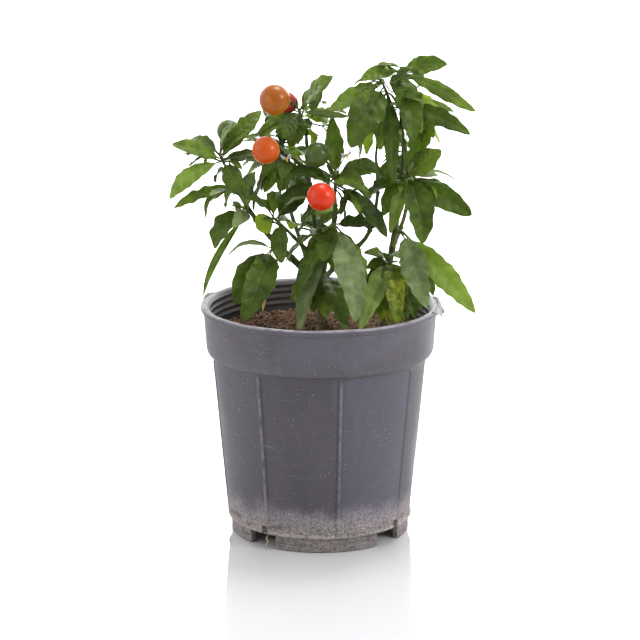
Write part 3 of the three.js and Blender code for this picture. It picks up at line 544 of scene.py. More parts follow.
def leaf_finish(name, colour, through=0.3, under=False, patches=None):
    """Waxy leaf skin: blotches, pale ribs and side veins, darker between them, some light let through."""
    f = Finish(name)
    red, green, blue = colour
    across, along, _ = f.parts(f.node("ShaderNodeUVMap", uv_map="place"))
    f.clouds(f.noise(90, 4, 0.65).ramp(0.32, 0.68), colour, 0.76, 1.18)
    towards_tip = (along + f.noise(90, 2) * 2.0).ramp(4.0, 8.0, 0, 0.3)
    f.paint(towards_tip, (red * 1.2 + 6, green * 1.15 + 6, blue * 1.1))
    off_vein = along.math("PINGPONG", 0.5)
    vein = off_vein.ramp(0.0, 0.12, 0.09, 0.0)
    f.paint(off_vein.ramp(0.1, 0.3, 0.0, 0.12), shade(colour, 0.8))
    off_rib = (across - 0.5).math("ABSOLUTE")
    rib = off_rib.ramp(RIB_SHARE * 0.7, RIB_SHARE * 1.1, 0.5, 0.0)
    margin = off_rib.ramp(0.46, 0.5, 0.0, 0.25)
    pale = vein.math("MAXIMUM", rib).math("MAXIMUM", margin)
    f.paint(pale, tuple(lerp(value * 1.1, 200, 0.3) for value in colour))
    if patches == "brown":
        f.paint(f.cells(420).ramp(0.16, 0.3, 0.75, 0.0), (104, 66, 30))
    elif patches == "yellow":
        f.paint(f.noise(260, 4, 0.65).ramp(0.46, 0.6, 0.0, 0.8), (190, 190, 62))
    face = -1 if under else 1
    pillow = off_vein.ramp(0.0, 0.45, 0.0, 0.4 * face)
    height = vein * (-4.0 * face) + f.noise(1500, 2) * 0.4 + (pillow + f.noise(170, 3, 0.55) * 2.8)
    normal = f.bump(height, 0.6, 0.0006)
    dull = (0.62, 0.78) if under else (0.3, 0.52)
    f.done(Roughness=f.noise(160, 3).ramp(0.3, 0.7, *dull), Specular_IOR_Level=0.2 if under else 0.22,
           Normal=normal)
    lit = shade((red * 1.36 + 20, green * 1.3 + 26, blue * 1.05), 1)
    let_through = f.node("ShaderNodeBsdfTranslucent", {"Color": lit, "Normal": normal})
    both = f.node("ShaderNodeMixShader", (through, Signal(f, f.shader.outputs[0]), let_through))
    f.put(f.tree.nodes["Material Output"].inputs["Surface"], both)
    return f.material


def stem_finish(name, colour, old):
    """Stem skin: fine lengthwise streaks and cork specks that grow denser with old, from 0 to 1."""
    f = Finish(name)
    streak = f.noise(900, 4, stretch=(1, 1, 0.12)).ramp(0.35, 0.68)
    f.clouds(streak, colour, 0.78, 1.22)
    cork = f.noise(380, 3, stretch=(1, 1, 0.5)).ramp(0.66 - 0.2 * old, 0.74 - 0.12 * old, 0, 0.75)
    f.paint(cork, (132, 116, 88))
    return f.done(Roughness=streak.ramp(0, 1, 0.5 + 0.2 * old, 0.72 + 0.15 * old), Specular_IOR_Level=0.35,
                  Normal=f.bump(streak + cork * 0.8, 0.6, 0.0005))


def berry_finish(name, colour, second, spread):
    """Satin fruit skin, with a second colour clouding over part of it."""
    f = Finish(name)
    f.base = f.mix(f.noise(70, 3).ramp(0.42, 0.68, 0, spread), colour, second)
    f.paint(f.noise(900, 2).ramp(0.6, 0.75, 0, 0.25), shade(colour, 1.15))
    return f.done(Roughness=f.noise(300, 2).ramp(0.3, 0.7, 0.3, 0.42), Specular_IOR_Level=0.3,
                  Coat_Weight=0.12, Coat_Roughness=0.22, Sheen_Weight=0.45, Sheen_Roughness=0.25,
                  Sheen_Tint=tuple(lerp(value, 255, 0.45) for value in second),
                  Normal=f.bump(f.noise(700, 2), 0.12, 0.0003))


def pot_finish(name, colour):
    """Weathered moulded plastic: haze, pale specks and a crust of minerals round the foot, with painted light
    and shade: raised panels lighter on the right, highlights on the ribs and lip, shade beside the ribs and
    inside.
    """
    f = Finish(name)
    x, y, z = f.parts(f.place)
    from_first = x.math("ARCTAN2", y * -1.0) * (360 / TURN) - PANEL["first"]
    on_wall = z.ramp(0.104, 0.108, 1.0, 0.0)
    haze = f.noise(26, 4).ramp(0.3, 0.72)
    f.clouds(haze, colour, 0.93, 1.08)
    share = (from_first + 360.0).math("DIVIDE", 2 * PANEL["width"]).math("FRACT")
    # The raised panels painted lighter and bluer, most on the right of the pot: painted light.
    raised_panel_light = share.math("GREATER_THAN", 0.5) * on_wall * x.ramp(-0.02, 0.01, 0.25, 1.0)
    f.paint(raised_panel_light * 0.7, (80, 77, 91))
    collar = z.ramp(0.106, 0.109) * f.noise(34, 4).ramp(0.35, 0.65, 0.15, 0.6)
    f.paint(collar, (94, 90, 101))
    streak = f.noise(90, 4, stretch=(1, 1, 0.1)).ramp(0.55, 0.8, 0, 0.3)
    f.paint(streak, (100, 95, 104))
    scuff = f.noise(150, 5, 0.65, stretch=(0.3, 0.3, 2.2)).ramp(0.6, 0.78, 0, 0.4)
    f.paint(scuff, (124, 119, 130))
    from_border = from_first.math("PINGPONG", PANEL["width"] / 2)
    # Light lines on the panel borders, along the ribs, broken by noise: painted highlight.
    rib_highlight = from_border.ramp(0.2, 0.6, 0.7, 0.0) * on_wall * f.noise(140, 4).ramp(0.36, 0.6, 0.2, 1.0)
    f.paint(rib_highlight, (138, 134, 142))
    # Dark lines 1.5 degrees either side of each panel border, at the foot of the ribs: painted shade.
    rib_shade = (from_border - 1.5).math("ABSOLUTE").ramp(0.2, 0.7, 0.45, 0.0) * on_wall
    f.paint(rib_shade, (48, 45, 50))
    specks = f.cells(300).ramp(0.05, 0.14, 0.8, 0.0) * f.noise(60, 2).ramp(0.48, 0.62)
    dust = f.noise(1100, 3).ramp(0.62, 0.74, 0, 0.5)
    f.paint(specks.math("MAXIMUM", dust), (150, 146, 154))
    plastic = f.base
    level = z + (f.noise(60, 6, 0.7) - 0.5) * 0.026
    crust = level.ramp(0.012, 0.031, 0.95, 0.0) * f.noise(700, 5, 0.75).ramp(0.36, 0.6, 0.3, 1.0)
    f.base = f.mix(f.noise(1500, 4, 0.75).ramp(0.36, 0.64), (104, 96, 94), (194, 185, 178))
    damp = f.noise(170, 5, 0.65, stretch=(0.6, 0.6, 1.8)).ramp(0.5, 0.62, 0.0, 0.75)
    f.paint(damp, (92, 82, 78))
    tide = level.ramp(0.014, 0.021) * level.ramp(0.026, 0.032, 0.75, 0.0)
    f.paint(tide, (178, 170, 176))
    foot_ring = z.ramp(0.0078, 0.0088, 0.2, 0.0)
    f.paint(foot_ring, (100, 90, 90))
    step = z.ramp(0.0082, 0.0092) * z.ramp(0.0102, 0.0116, 1.0, 0.0)
    step = step * f.noise(120, 4).ramp(0.35, 0.6, 0.1, 0.6)
    f.paint(step, (206, 198, 190))
    f.base = f.mix(crust, plastic, f.base)
    # The inner wall above the soil, in darker greys without the outer marks: painted shade.
    from_axis = (x.math("POWER", 2.0) + y.math("POWER", 2.0)).math("SQRT")
    outer = from_axis.ramp(0.0655, 0.0665).math("MAXIMUM", z.ramp(0.1362, 0.1365))
    outer = outer.math("MAXIMUM", z.ramp(0.107, 0.109, 1.0, 0.0))
    f.base = f.mix(outer, f.mix(haze, (62, 59, 60), (80, 77, 76)), f.base)
    # A lighter band round the top of the lip, broken by noise: painted highlight.
    lip = z.ramp(0.1352, 0.1362, 0.0, 0.6) * f.noise(130, 4).ramp(0.35, 0.6, 0.35, 1.0)
    f.paint(lip, (156, 151, 161))
    height = f.noise(900, 3) * 0.35 + crust * f.noise(900, 5, 0.75) + specks * 0.6
    return f.done(Roughness=haze.ramp(0, 1, 0.42, 0.54) + crust * 0.35, Specular_IOR_Level=0.5,
                  Normal=f.bump(height, 0.5, 0.0007))


def soil_finish(name, colour):
    """Crumbly potting mix: dark peat and paler grit."""
    f = Finish(name)
    f.clouds(f.noise(300, 6, 0.75).ramp(0.34, 0.64), colour, 0.6, 1.25)
    f.paint(f.cells(520).ramp(0.12, 0.3, 0.5, 0.0), (132, 112, 90))
    return f.done(Roughness=0.92, Specular_IOR_Level=0.2, Normal=f.bump(f.noise(800, 6, 0.75), 0.9, 0.0016))


def plain_finish(name, colour, second, rough, scale, depth):
    """Two close colours clouded together over a fine grain."""
    f = Finish(name)
    f.base = f.mix(f.noise(scale, 4).ramp(0.35, 0.65), colour, second)
    return f.done(Roughness=rough, Specular_IOR_Level=0.4, Normal=f.bump(f.noise(scale * 4, 3), 0.5, depth))


# Pot

def turned(radius, degrees, z):
    """A point at an angle from the front towards the right."""
    a = np.radians(degrees)
    return np.stack(np.broadcast_arrays(radius * np.sin(a), -radius * np.cos(a), z), axis=-1)


def waviness(degrees, z):
    """Slow unevenness of a thin moulded wall, from -1 to 1."""
    a = np.radians(degrees)
    slow, quick = 0.5 * np.sin(3 * a + 0.02 * z + 0.6), 0.3 * np.sin(7 * a - 0.05 * z)
    return slow + quick + 0.2 * np.sin(13 * a + 0.11 * z)


def panel_relief(degrees, z):
    """Sunk panels, a fine rib on each of their borders, and the drain slots above the notches."""
    width = PANEL["width"]
    off = (degrees - PANEL["first"]) % (2 * width)
    sunk = smooth(-0.5, 0.5, off) * (1 - smooth(width - 0.5, width + 0.5, off))
    sunk = sunk + smooth(2 * width - 0.5, 2 * width + 0.5, off)
    near = np.abs((off + width / 2) % width - width / 2)
    rib = 0.7 * np.exp(-(near / 0.8) ** 2)
    on_wall = smooth(9.5, 11.5, z) * (1 - smooth(104.5, 106, z))
    slot_off = (degrees - (NOTCH["first"] + 4) + 45) % 90 - 45
    slot = (np.abs(slot_off) < 2.1) * (z > 9.0) * (z < 13.8)
    return on_wall * (rib - PANEL["depth"] * sunk) - 2.6 * slot


def pot_outline():
    """Radius and height of each ring, round from under the floor to inside, and whether it has relief."""
    height = POT["height"]
    wall_height = height - POT["collar_depth"] - POT["foot_height"] - POT["floor"]
    slope = (POT["wall_top"] - POT["wall_foot"]) / wall_height
    levels = [9.4, 9.6, 10.4, 11.5, 12.6, 13.6, 13.9, 15.5]
    levels += [*np.arange(18, 104, 3.0), 104.5, 105.3, 106.2]
    under = [(48.0, 8.5), (52.2, 8.5), (53.4, 8.6), (54.1, 9.0)]
    wall = [(POT["wall_foot"] + slope * (z - 11.5), z) for z in levels]
    collar = [(63.7, 107.0), (64.6, 107.3), (65.6, 108.1), (66.4, 109.4), (66.9, 111.2)]
    collar += [(lerp(67.0, 68.2, share), lerp(113, 131.9, share)) for share in np.linspace(0, 1, 7)]
    lip = [(68.5, 132.6), (69.3, 133.1), (69.8, 133.5), (70.0, 134.2), (70.0, 135.4), (69.7, 136.1),
           (69.1, 136.45), (68.4, 136.5), (67.2, 136.4), (66.5, 136.0)]
    bottom = height - 1 - RIDGE["pitch"] * RIDGE["count"]
    inside = []
    for z in np.arange(135.0, bottom, -0.65):
        wave = 0.5 + 0.5 * math.cos(TURN * (height - 1 - z) / RIDGE["pitch"] + math.pi)
        inside.append((65.7 - RIDGE["depth"] * 1.5 * wave ** 1.6, z))
    inside += [(65.6, bottom - 1.5), (65.5, 112.5), (64.2, 109.0), (61.6, 107.0), (60.9, 104.0)]
    inside += [(lerp(60.5, 52.6, share), lerp(98, 12.4, share)) for share in (0, 0.5, 1)]
    inside += [(51.6, 11.6), (30.0, 11.5)]
    return [(*row, row in wall) for row in under + wall + collar + lip + inside]


def make_pot(finish):
    piece = Piece("pot_shell", [finish])
    ribs = [PANEL["first"] + PANEL["width"] * i + off for i in range(8)
            for off in (-1.7, -1.2, -0.8, -0.4, 0, 0.4, 0.8, 1.2, 1.7)]
    slots = [NOTCH["first"] + 4 + 90 * i + off for i in range(NOTCH["count"])
             for off in (-2.2, -2.0, 2.0, 2.2)]
    angles = np.unique(np.round(np.concatenate([np.arange(-34, 326, 2.0), ribs, slots]) % 360, 3))
    rings = []
    for radius, z, relief in pot_outline():
        reach = radius + relief * panel_relief(angles, z) + 0.18 * waviness(angles, z) * (radius > 40)
        rise = z + 0.3 * waviness(angles, 0) * smooth(125, 136, z)
        rings.append(turned(reach, angles, rise))
    points = np.vstack([*rings, [[0, 0, 8.5], [0, 0, 11.5]]])
    piece.add(points, shell_faces(len(rings), len(angles)), 0)
    add_foot(piece)
    piece.make("pot_plastic", stands_for=["pot"], sharp=50)


def add_foot(piece):
    """The foot ring, in arcs between the notches, with rounded edges and closed ends."""
    half = math.degrees(math.asin(NOTCH["width"] / 2 / POT["foot"]))
    section = [(52.5, 8.8), (52.5, 1.0), (52.3, 0.4), (51.7, 0.05),
               (49.8, 0.05), (49.1, 0.4), (48.9, 1.0), (48.9, 8.8)]
    rows, columns = 40, len(section)
    for i in range(NOTCH["count"]):
        start = NOTCH["first"] + 90 * i + half
        rings = []
        for row, angle in enumerate(np.linspace(start, start + 90 - 2 * half, rows)):
            trim = 1 if row in (0, rows - 1) else 0
            radii = np.array([r - 0.35 * trim if r > 50 else r + 0.35 * trim for r, _ in section])
            levels = np.array([z + 0.3 * trim * (z < 5) for _, z in section])
            rings.append(turned(radii, angle, levels))
        end = (rows - 1) * columns
        faces = grid_faces(rows, columns, closed=True)
        faces += [tuple(range(columns)), tuple(end + j for j in reversed(range(columns)))]
        piece.add(np.concatenate(rings), faces, 0)


def make_flash(finish):
    """Crumpled slivers of torn plastic that stand on the rim."""
    piece = Piece("rim_flash", [finish])
    draw = seeded(7)
    rows, columns = 22, 7
    for start, end, out, drop in ((70, 96, 4.6, 5.5), (-113, -99, 2.6, 2.5), (88, 104, 3.2, 3.0)):
        points = []
        for share in np.linspace(0, 1, rows):
            fullness = math.sin(math.pi * share) ** 0.6
            for away in np.linspace(0, 1, columns):
                reach = 69.0 + out * fullness * away * draw(0.55, 1.0)
                fall = drop * fullness * away ** 2 * draw(0.5, 1)
                rise = 136.6 + 1.6 * math.sin(math.pi * away) * fullness - fall
                degrees = lerp(start, end, share) + draw(-0.5, 0.5)
                points.append(turned(reach, degrees, rise + draw(-0.5, 0.5)))
        points = np.array(points).reshape(rows, columns, 3)
        piece.add_sheet(points, points - UP * 0.35, 0)
    piece.make("pot_plastic")


# Soil

def bumpiness(x, y, seed, sizes):
    """Rolling unevenness from a few crossed waves; sizes are (wavelength, height) in mm."""
    draw = seeded(seed)
    total = np.zeros_like(x)
    for wave, height in sizes:
        for _ in range(5):
            way, start = draw(0, TURN), draw(0, TURN)
            along = x * math.cos(way) + y * math.sin(way)
            total = total + height * 0.45 * np.sin(TURN / wave * along + start)
    return total


def soil_level(x, y):
    near = sum(np.exp(-((x - fx) ** 2 + (y - fy) ** 2) / 60) for fx, fy in ((37, 12), (2, 10)))
    relief = bumpiness(x, y, 5, ((31, 0.9), (12, 0.8), (5.2, 0.55), (2.6, 0.35)))
    return SOIL_LEVEL + np.clip(relief, -2.2, 2.2) * 0.8 + 1.0 * near


def make_soil(finishes):
    piece = Piece("soil_bed", finishes)
    angles = np.arange(0, 360, 2.25)
    rings = []
    for radius in np.append(np.linspace(0.6, SOIL_BED["radius"] - 0.2, 62), SOIL_BED["radius"]):
        flat = turned(radius, angles, 0.0)
        flat[:, 2] = soil_level(flat[:, 0], flat[:, 1])
        rings.append(flat)
    rings.append(turned(SOIL_BED["radius"], angles, SOIL_BED["foot"]))
    faces = [face[::-1] for face in shell_faces(len(rings), len(angles))]
    piece.add(np.vstack([*rings, [[0, 0, SOIL_LEVEL], [0, 0, SOIL_BED["foot"]]]]), faces, 0)
    draw = seeded(29)
    corners = np.array([(1, 0, 0), (0, 1, 0), (-1, 0, 0), (0, -1, 0), (0, 0, 1), (0, 0, -1)], float)
    sides = [(0, 1, 4), (1, 2, 4), (2, 3, 4), (3, 0, 4), (1, 0, 5), (2, 1, 5), (3, 2, 5), (0, 3, 5)]
    for _ in range(SOIL_BED["crumbs"]):
        radius, angle = SOIL_BED["crumb_reach"] * math.sqrt(draw()), draw(0, 360)
        x, y, _z = turned(radius, angle, 0.0)
        size = 0.4 + 1.3 * draw() ** 3
        stretch = np.array([[draw(0.6, 1.5), draw(0.6, 1.5), draw(0.5, 1.0)]])
        jitter = np.array([[draw(-0.3, 0.3) for _ in range(3)] for _ in range(6)])
        turn = draw(0, TURN)
        sine, cosine = math.sin(turn), math.cos(turn)
        spin = np.array([[cosine, -sine, 0], [sine, cosine, 0], [0, 0, 1]])
        crumb = ((corners + jitter) * stretch * size) @ spin.T
        centre = np.array([x, y, float(soil_level(np.array(x), np.array(y))) + size * 0.25])
        pick = draw()
        piece.add(crumb + centre, sides, 1 if pick < 0.5 else 0 if pick < 0.86 else 2)
    piece.make("potting_mix", stands_for=["soil"])


# Trunks, boughs and stems

class Limb:
    """A trunk or bough: a curve, and a radius that swells where it starts."""

    def __init__(self, name, flare, radii, points):
        self.name = name
        self.flare = flare
        self.radii = radii
        self.curve = through_points(points)
        self.length = length_of(self.curve)

    def radius(self, share):
        return lerp(*self.radii, share) * (1 + self.flare * np.exp(-share * self.length / 7))


def bark_relief(rows, sides, length, seed, amount):
    """Lengthwise ridges that wander, with a swollen joint and its leaf scar every so often."""
    draw = seeded(seed)
    along = np.linspace(0, length, rows)[:, None]
    angle = np.linspace(0, TURN, sides, endpoint=False)[None, :]
    wander = 0.5 * np.sin(along / 9 + draw(0, TURN))
    broad = 0.5 * np.sin(4 * (angle + wander) + draw(0, TURN))
    narrow = 0.3 * np.sin(7 * (angle - wander) + along / 5)
    rings = 0.35 * np.sin(along / 1.7 + 2 * angle + draw(0, TURN))
    relief = amount * (broad + narrow + rings)
    place = draw(3, 7)
    while place < length - 2:
        scar = draw(0, TURN)
        around = np.exp(-(2 - 2 * np.cos(angle - scar)) / 0.5)
        relief = relief + 0.2 * np.exp(-((along - place) / 1.1) ** 2)
        relief = relief + 0.4 * np.exp(-((along - place) / 0.9) ** 2) * around
        place += draw(7, 13)
    return relief


def make_limb(limb, finishes, seed):
    """One limb with bark: cork-brown at its foot, greener towards the tip."""
    trunk = limb.name.startswith("trunk")
    rows, sides = max(12, int(limb.length / 0.8)), 16
    share = np.linspace(0, 1, rows)
    swell, reach = (0.25, 4) if trunk else (0.35, 3)
    radii = limb.radius(share) * (1 + swell * np.exp(-share * limb.length / reach))
    amount = (0.10 if trunk else 0.06) * (1 - 0.6 * share)[:, None]
    relief = bark_relief(rows, sides, limb.length, seed, amount)
    changes = ((0.34, 0), (0.68, 1), (2.0, 2)) if trunk else ((0.22, 1), (2.0, 2))
    picked = [next(slot for limit, slot in changes if row / rows < limit) for row in range(rows - 1)]
    slots = [slot for slot in picked for _ in range(sides)] + [picked[0], picked[-1]] * sides
    piece = Piece(limb.name + "_bark", finishes)
    add_tube(piece, limb.curve(share), radii, sides, slots, relief)
    piece.make("green_bark", stands_for=[limb.name])


def stem_curve(mass, limb):
    start = limb.curve(mass.at)
    end = start + np.array(mass.stem, float)
    middle = (start + end) / 2
    if mass.at == 1:
        middle = middle + tangent_of(limb.curve, 1.0) * 0.12 * np.linalg.norm(end - start)
    return bezier(start, middle, end)


def add_twig(piece, curve, radii, seed):
    steps = max(5, int(length_of(curve) / 1.2))
    share = np.linspace(0, 1, steps)
    relief = bark_relief(steps, 8, length_of(curve), seed, 0.08)
    add_tube(piece, curve(share), lerp(*radii, share), 8, 0, relief)


# Leaves

Leaf = namedtuple("Leaf", "curve tip side length width")


def make_leaf(root, tip, turn=0.0, width=None, arch=0.14):
    """The midrib and the direction across, by the rule of the part's source."""
    span = tip - root
    length = float(np.linalg.norm(span))
    chord = span / length
    level = math.hypot(chord[0], chord[1])
    heading = np.array([chord[0] / level, chord[1] / level, 0]) if level > 0.02 else np.array([0, -1.0, 0])
    flat_side = np.cross(UP, heading)
    top = unit(np.cross(chord, flat_side))
    roll = math.radians(turn) * (1 if heading[0] >= 0 else -1)
    side = flat_side * math.cos(roll) + top * math.sin(roll)
    bulge = unit(np.cross(chord, side))
    middle = root + span / 2 + bulge * 2 * arch * length
    return Leaf(bezier(root, middle, tip), tip, side, length, width or 0.31 * length)


def told_candidates(curve, told):
    at, x, y, z, turn, *rest = told
    return [make_leaf(curve(at), np.array([x, y + shift, z - SIGHT["drop"] * shift]), turn, *rest)
            for shift in SIGHT["shifts"]]


def rule_candidates(mass, curve):
    draw = seeded(mass.seed)
    for i in range(mass.more):
        options = []
        for k in range(RULE["tries"]):
            root = curve(draw(0.35, 1))
            azimuth = i * GOLDEN + mass.seed + k * 1.1 + draw()
            pitch = draw(*RULE["pitch"])
            length = draw(*RULE["length"])
            options.append(make_leaf(root, root + length * heading_of(azimuth, pitch), draw(-30, 45)))
        yield options


def standing(options, corners):
    """The option whose tip is a corner of the mass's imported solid, or None."""
    for leaf in options:
        if np.min(np.sum((corners - leaf.tip) ** 2, axis=1)) < 0.05 ** 2:
            return leaf
    return None


def add_leaf(piece, leaf, tint, draw):
    """A thin closed blade, folded on its midrib, with waved margins and skin raised between side veins."""
    length, width = leaf.length, leaf.width * LEAF["wider"]
    big = length > 17
    rows = int(np.clip(length, 9, 38))
    inner = np.array((0, 0.2, 0.46, 0.74, 1)) if big else np.array((0, 0.5, 1))
    u = np.linspace(0, 1, rows)
    s = np.clip((u - LEAF["blade_start"]) / (1 - LEAF["blade_start"]), 0, 1)
    peak, fullness = LEAF["peak"] * draw(0.88, 1.1), LEAF["fullness"] * draw(0.9, 1.15)
    outline = np.sin(math.pi * s ** peak) ** fullness
    stalk = LEAF["petiole"] * min(1, width / 8) * (1 - smooth(0.75, 1.0, u))
    blade = smooth(0.0, 0.35, outline)
    waves, start = length / draw(6, 9.5), draw(0, 1)
    wavy = min(1, width / 11)
    halves = []
    for hand in (-1, 1):
        edge = 1 + wavy * (0.055 * np.sin(TURN * (waves * u + draw(0, 1)))
                           + 0.04 * np.sin(TURN * (0.37 * waves * u + start)))
        halves.append(np.sqrt(stalk ** 2 + (width / 2 * outline * edge) ** 2))
    ripple = draw(0.1, 0.22) * wavy
    phases = (draw(0, 1), draw(0, 1))
    fold = math.radians(draw(10, 34))
    curl = draw(0.02, 0.3)
    twist = math.radians(draw(-16, 16))
    sway = draw(-0.02, 0.02) * length
    droop = draw(-0.01, 0.05) * length
    veins = draw(5.5, 7.5)
    way = tangent_of(leaf.curve, u)
    side = leaf.side - way * (way @ leaf.side)[:, None]
    side /= np.maximum(np.linalg.norm(side, axis=1, keepdims=True), 1e-9)
    up = np.cross(way, side)
    angle = (twist * np.sin(math.pi * u))[:, None]
    side, up = side * np.cos(angle) + up * np.sin(angle), up * np.cos(angle) - side * np.sin(angle)
    centre = leaf.curve(u) + side * (sway * np.sin(TURN * u) * s)[:, None]
    centre = centre - up * (droop * smooth(0.6, 1, u))[:, None]
    closing = (1 - smooth(0.94, 1.0, u))[:, None]
    tops, lows, places = [], [], []
    for hand, half, phase in zip((-1, 1), halves, phases):
        rib = np.clip(lerp(0.42, 0.12, u) / np.maximum(half, 0.05), 0.02, 0.6)
        share = rib[:, None] + (1 - rib[:, None]) * inner[None, :]
        reach = half[:, None] * share
        lift = half[:, None] * (math.sin(fold) * share ** 1.15 - curl * share ** 3) * blade[:, None]
        swell = 0.6 + 0.4 * np.sin(TURN * (0.43 * waves * u + 2 * phase))
        swing = (swell * np.sin(TURN * (waves * u + phase)))[:, None]
        lift = lift + ripple * half[:, None] * share ** 2 * swing * blade[:, None]
        vein = veins * (u[:, None] - 0.8 * reach / length)
        if big:
            quilt = np.abs(np.sin(math.pi * vein)) - 0.6
            lift = lift + 0.026 * width * quilt * (1 - share ** 4) * blade[:, None]
        at = centre[:, None] + up[:, None] * lift[..., None]
        at = at + side[:, None] * (hand * reach * math.cos(fold * 0.8))[..., None]
        round_part = np.sqrt(np.maximum(0, 1 - share ** 2)) * stalk[:, None] * 0.9
        thickness = 0.22 * (1 - share ** 2) + 0.28 * np.exp(-(reach / 0.7) ** 2) * (1 - share ** 6)
        over = round_part * (1 - blade[:, None])
        below = lerp(round_part, thickness, blade[:, None])
        across = hand * (RIB_SHARE + (0.5 - RIB_SHARE) * inner) * np.ones((rows, 1))
        tops.append(at + up[:, None] * (over * closing)[..., None])
        lows.append(at - up[:, None] * (below * closing)[..., None])
        places.append(np.stack([0.5 + across, vein], axis=-1))
    top, low, place = (np.concatenate([left[:, ::-1], right], axis=1) for left, right in (tops, lows, places))
    columns = 2 * len(inner)
    count = rows * columns
    side_faces = (rows - 1) * (columns - 1)
    faces = grid_faces(rows, columns) + grid_faces(rows, columns, start=count, flip=True)
    faces.append(tuple(range(columns)) + tuple(count + j for j in reversed(range(columns))))
    slot = TINT_ORDER.index(tint)
    back = slot if tint in THIN + "o" else UNDER
    piece.add([*top.reshape(-1, 3), *low.reshape(-1, 3)], faces,
              [slot] * side_faces + [back] * side_faces + [slot], np.vstack([place.reshape(-1, 2)] * 2))


# Sprays: finer twigs with small leaves, grown over and behind the told leaves and never across open sky

def leaf_samples(leaf, steps=9):
    """Points spread over a leaf's blade, to keep leaves off each other."""
    u = np.linspace(0.3, 1, steps)
    half = leaf.width / 2 * np.sin(math.pi * np.clip((u - 0.12) / 0.88, 0, 1)) ** 0.8
    return np.vstack([leaf.curve(u) + leaf.side * (half * share)[:, None]
                      for share in (-0.9, -0.45, 0, 0.45, 0.9)])


class Crowd:
    """What is grown so far: points of leaves, and balls that stand for wood and fruit."""

    def __init__(self):
        self.points = np.zeros((0, 3))
        self.seen = np.zeros((0, 2))
        self.balls = np.zeros((0, 4))

    def add_leaf(self, leaf, main=False):
        points = leaf_samples(leaf)
        self.points = np.vstack([self.points, points])
        if main:
            self.seen = np.vstack([self.seen, in_photo(points)])

    def add_balls(self, points, radii):
        self.balls = np.vstack([self.balls, np.column_stack([points, radii])])

    def hides(self, leaf):
        """Whether told leaves already fill the view where this one would be seen from the front."""
        seen = in_photo(leaf_samples(leaf, 6))
        for x, y, radius in SKY:
            if np.any(np.hypot(seen[:, 0] - x, seen[:, 1] - y) < radius):
                return False
        near = np.sqrt(((seen[:, None] - self.seen[None]) ** 2).sum(-1)).min(1)
        return near.max() < SPRAY["near"]

    def takes(self, leaf):
        """Whether a leaf is hidden and clears the soil, the pot, the other leaves, the wood and the fruit."""
        if not self.hides(leaf):
            return False
        points = leaf_samples(leaf, 6)
        over_rim = np.hypot(points[:, 0], points[:, 1]) > SPRAY["rim"]
        lowest = np.where(over_rim, POT["height"] + SPRAY["over_rim"], SOIL_LEVEL + SPRAY["over_soil"])
        if np.any(points[:, 2] < lowest):
            return False
        apart = ((points[:, None] - self.points[None]) ** 2).sum(-1).min()
        from_balls = np.sqrt(((points[:, None] - self.balls[None, :, :3]) ** 2).sum(-1))
        balls = from_balls - self.balls[None, :, 3]
        return apart >= SPRAY["clear"] ** 2 and balls.min() > SPRAY["from_wood"]


def grow_tuft(draw, tip, way, box, crowd):
    """Small leaves round the end of a side twig, as far as they find room in the mass's box."""
    low, high = box
    aside = unit(np.cross(way, UP) + 1e-3)
    tuft = []
    for j in range(int(draw(*SPRAY["leaves"]) + 1)):
        around = j * GOLDEN + draw(0, 1)
        heading = spread_from(way, aside, around, draw(0.6, 1.25))
        heading = unit(heading + UP * draw(-0.25, 0.15))
        length = draw(*SPRAY["length"])
        leaf = make_leaf(tip - way * draw(0, 2.5), tip + heading * length, draw(-30, 45),
                         length * draw(0.38, 0.5), draw(0.04, 0.16))
        if np.all(leaf.tip > low + 1) and np.all(leaf.tip < high - 1) and crowd.takes(leaf):
            tuft.append(leaf)
    return tuft


def grow_sprays(mass, curve, crowd, twigs, leaves):
    """Side twigs up the shoot by the golden angle, each with a tuft of small leaves at its end."""
    draw = seeded(mass.seed + 1000)
    box = [np.array(corner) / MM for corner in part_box("foliage_" + mass.name)]
    for i in range(9 if "back" in mass.name else 7):
        for k in range(SPRAY["tries"]):
            root = curve(draw(0.1, 1.0))
            azimuth = i * GOLDEN + mass.seed + k * 1.3 + draw()
            way = heading_of(azimuth, draw(-0.5, 0.9))
            tip = root + way * draw(*SPRAY["twig"]) * draw(0.7, 1.5)
            tuft = grow_tuft(draw, tip, way, box, crowd)
            if len(tuft) >= 2:
                break
        else:
            continue
        middle = (root + tip) / 2 + UP * draw(-1, 1.5)
        add_twig(twigs, bezier(root, middle, tip), (0.55, 0.42), mass.seed + i)
        for leaf in tuft:
            crowd.add_leaf(leaf)
            add_leaf(leaves, leaf, "dmmlmdmg"[int(draw(0, 8))], draw)


def grow_bud_leaves(mass, curve, crowd, leaves):
    """The youngest leaves, small and pale, round the very tip of a shoot."""
    draw = seeded(mass.seed + 2000)
    tip = curve(1.0)
    way = tangent_of(curve, 1.0)
    aside = unit(np.cross(way, (0.3, 1, 0.2)))
    for j in range(BUD_LEAVES["count"]):
        heading = unit(spread_from(way, aside, j * GOLDEN, BUD_LEAVES["spread"] + BUD_LEAVES["wider"] * j))
        length = BUD_LEAVES["shortest"] + BUD_LEAVES["longer"] * j
        leaf = make_leaf(tip - way * 0.6, tip + heading * length, draw(-20, 20), length * 0.34, -0.06)
        if crowd.hides(leaf):
            add_leaf(leaves, leaf, "lm"[j > 3], draw)


# Berries and flowers

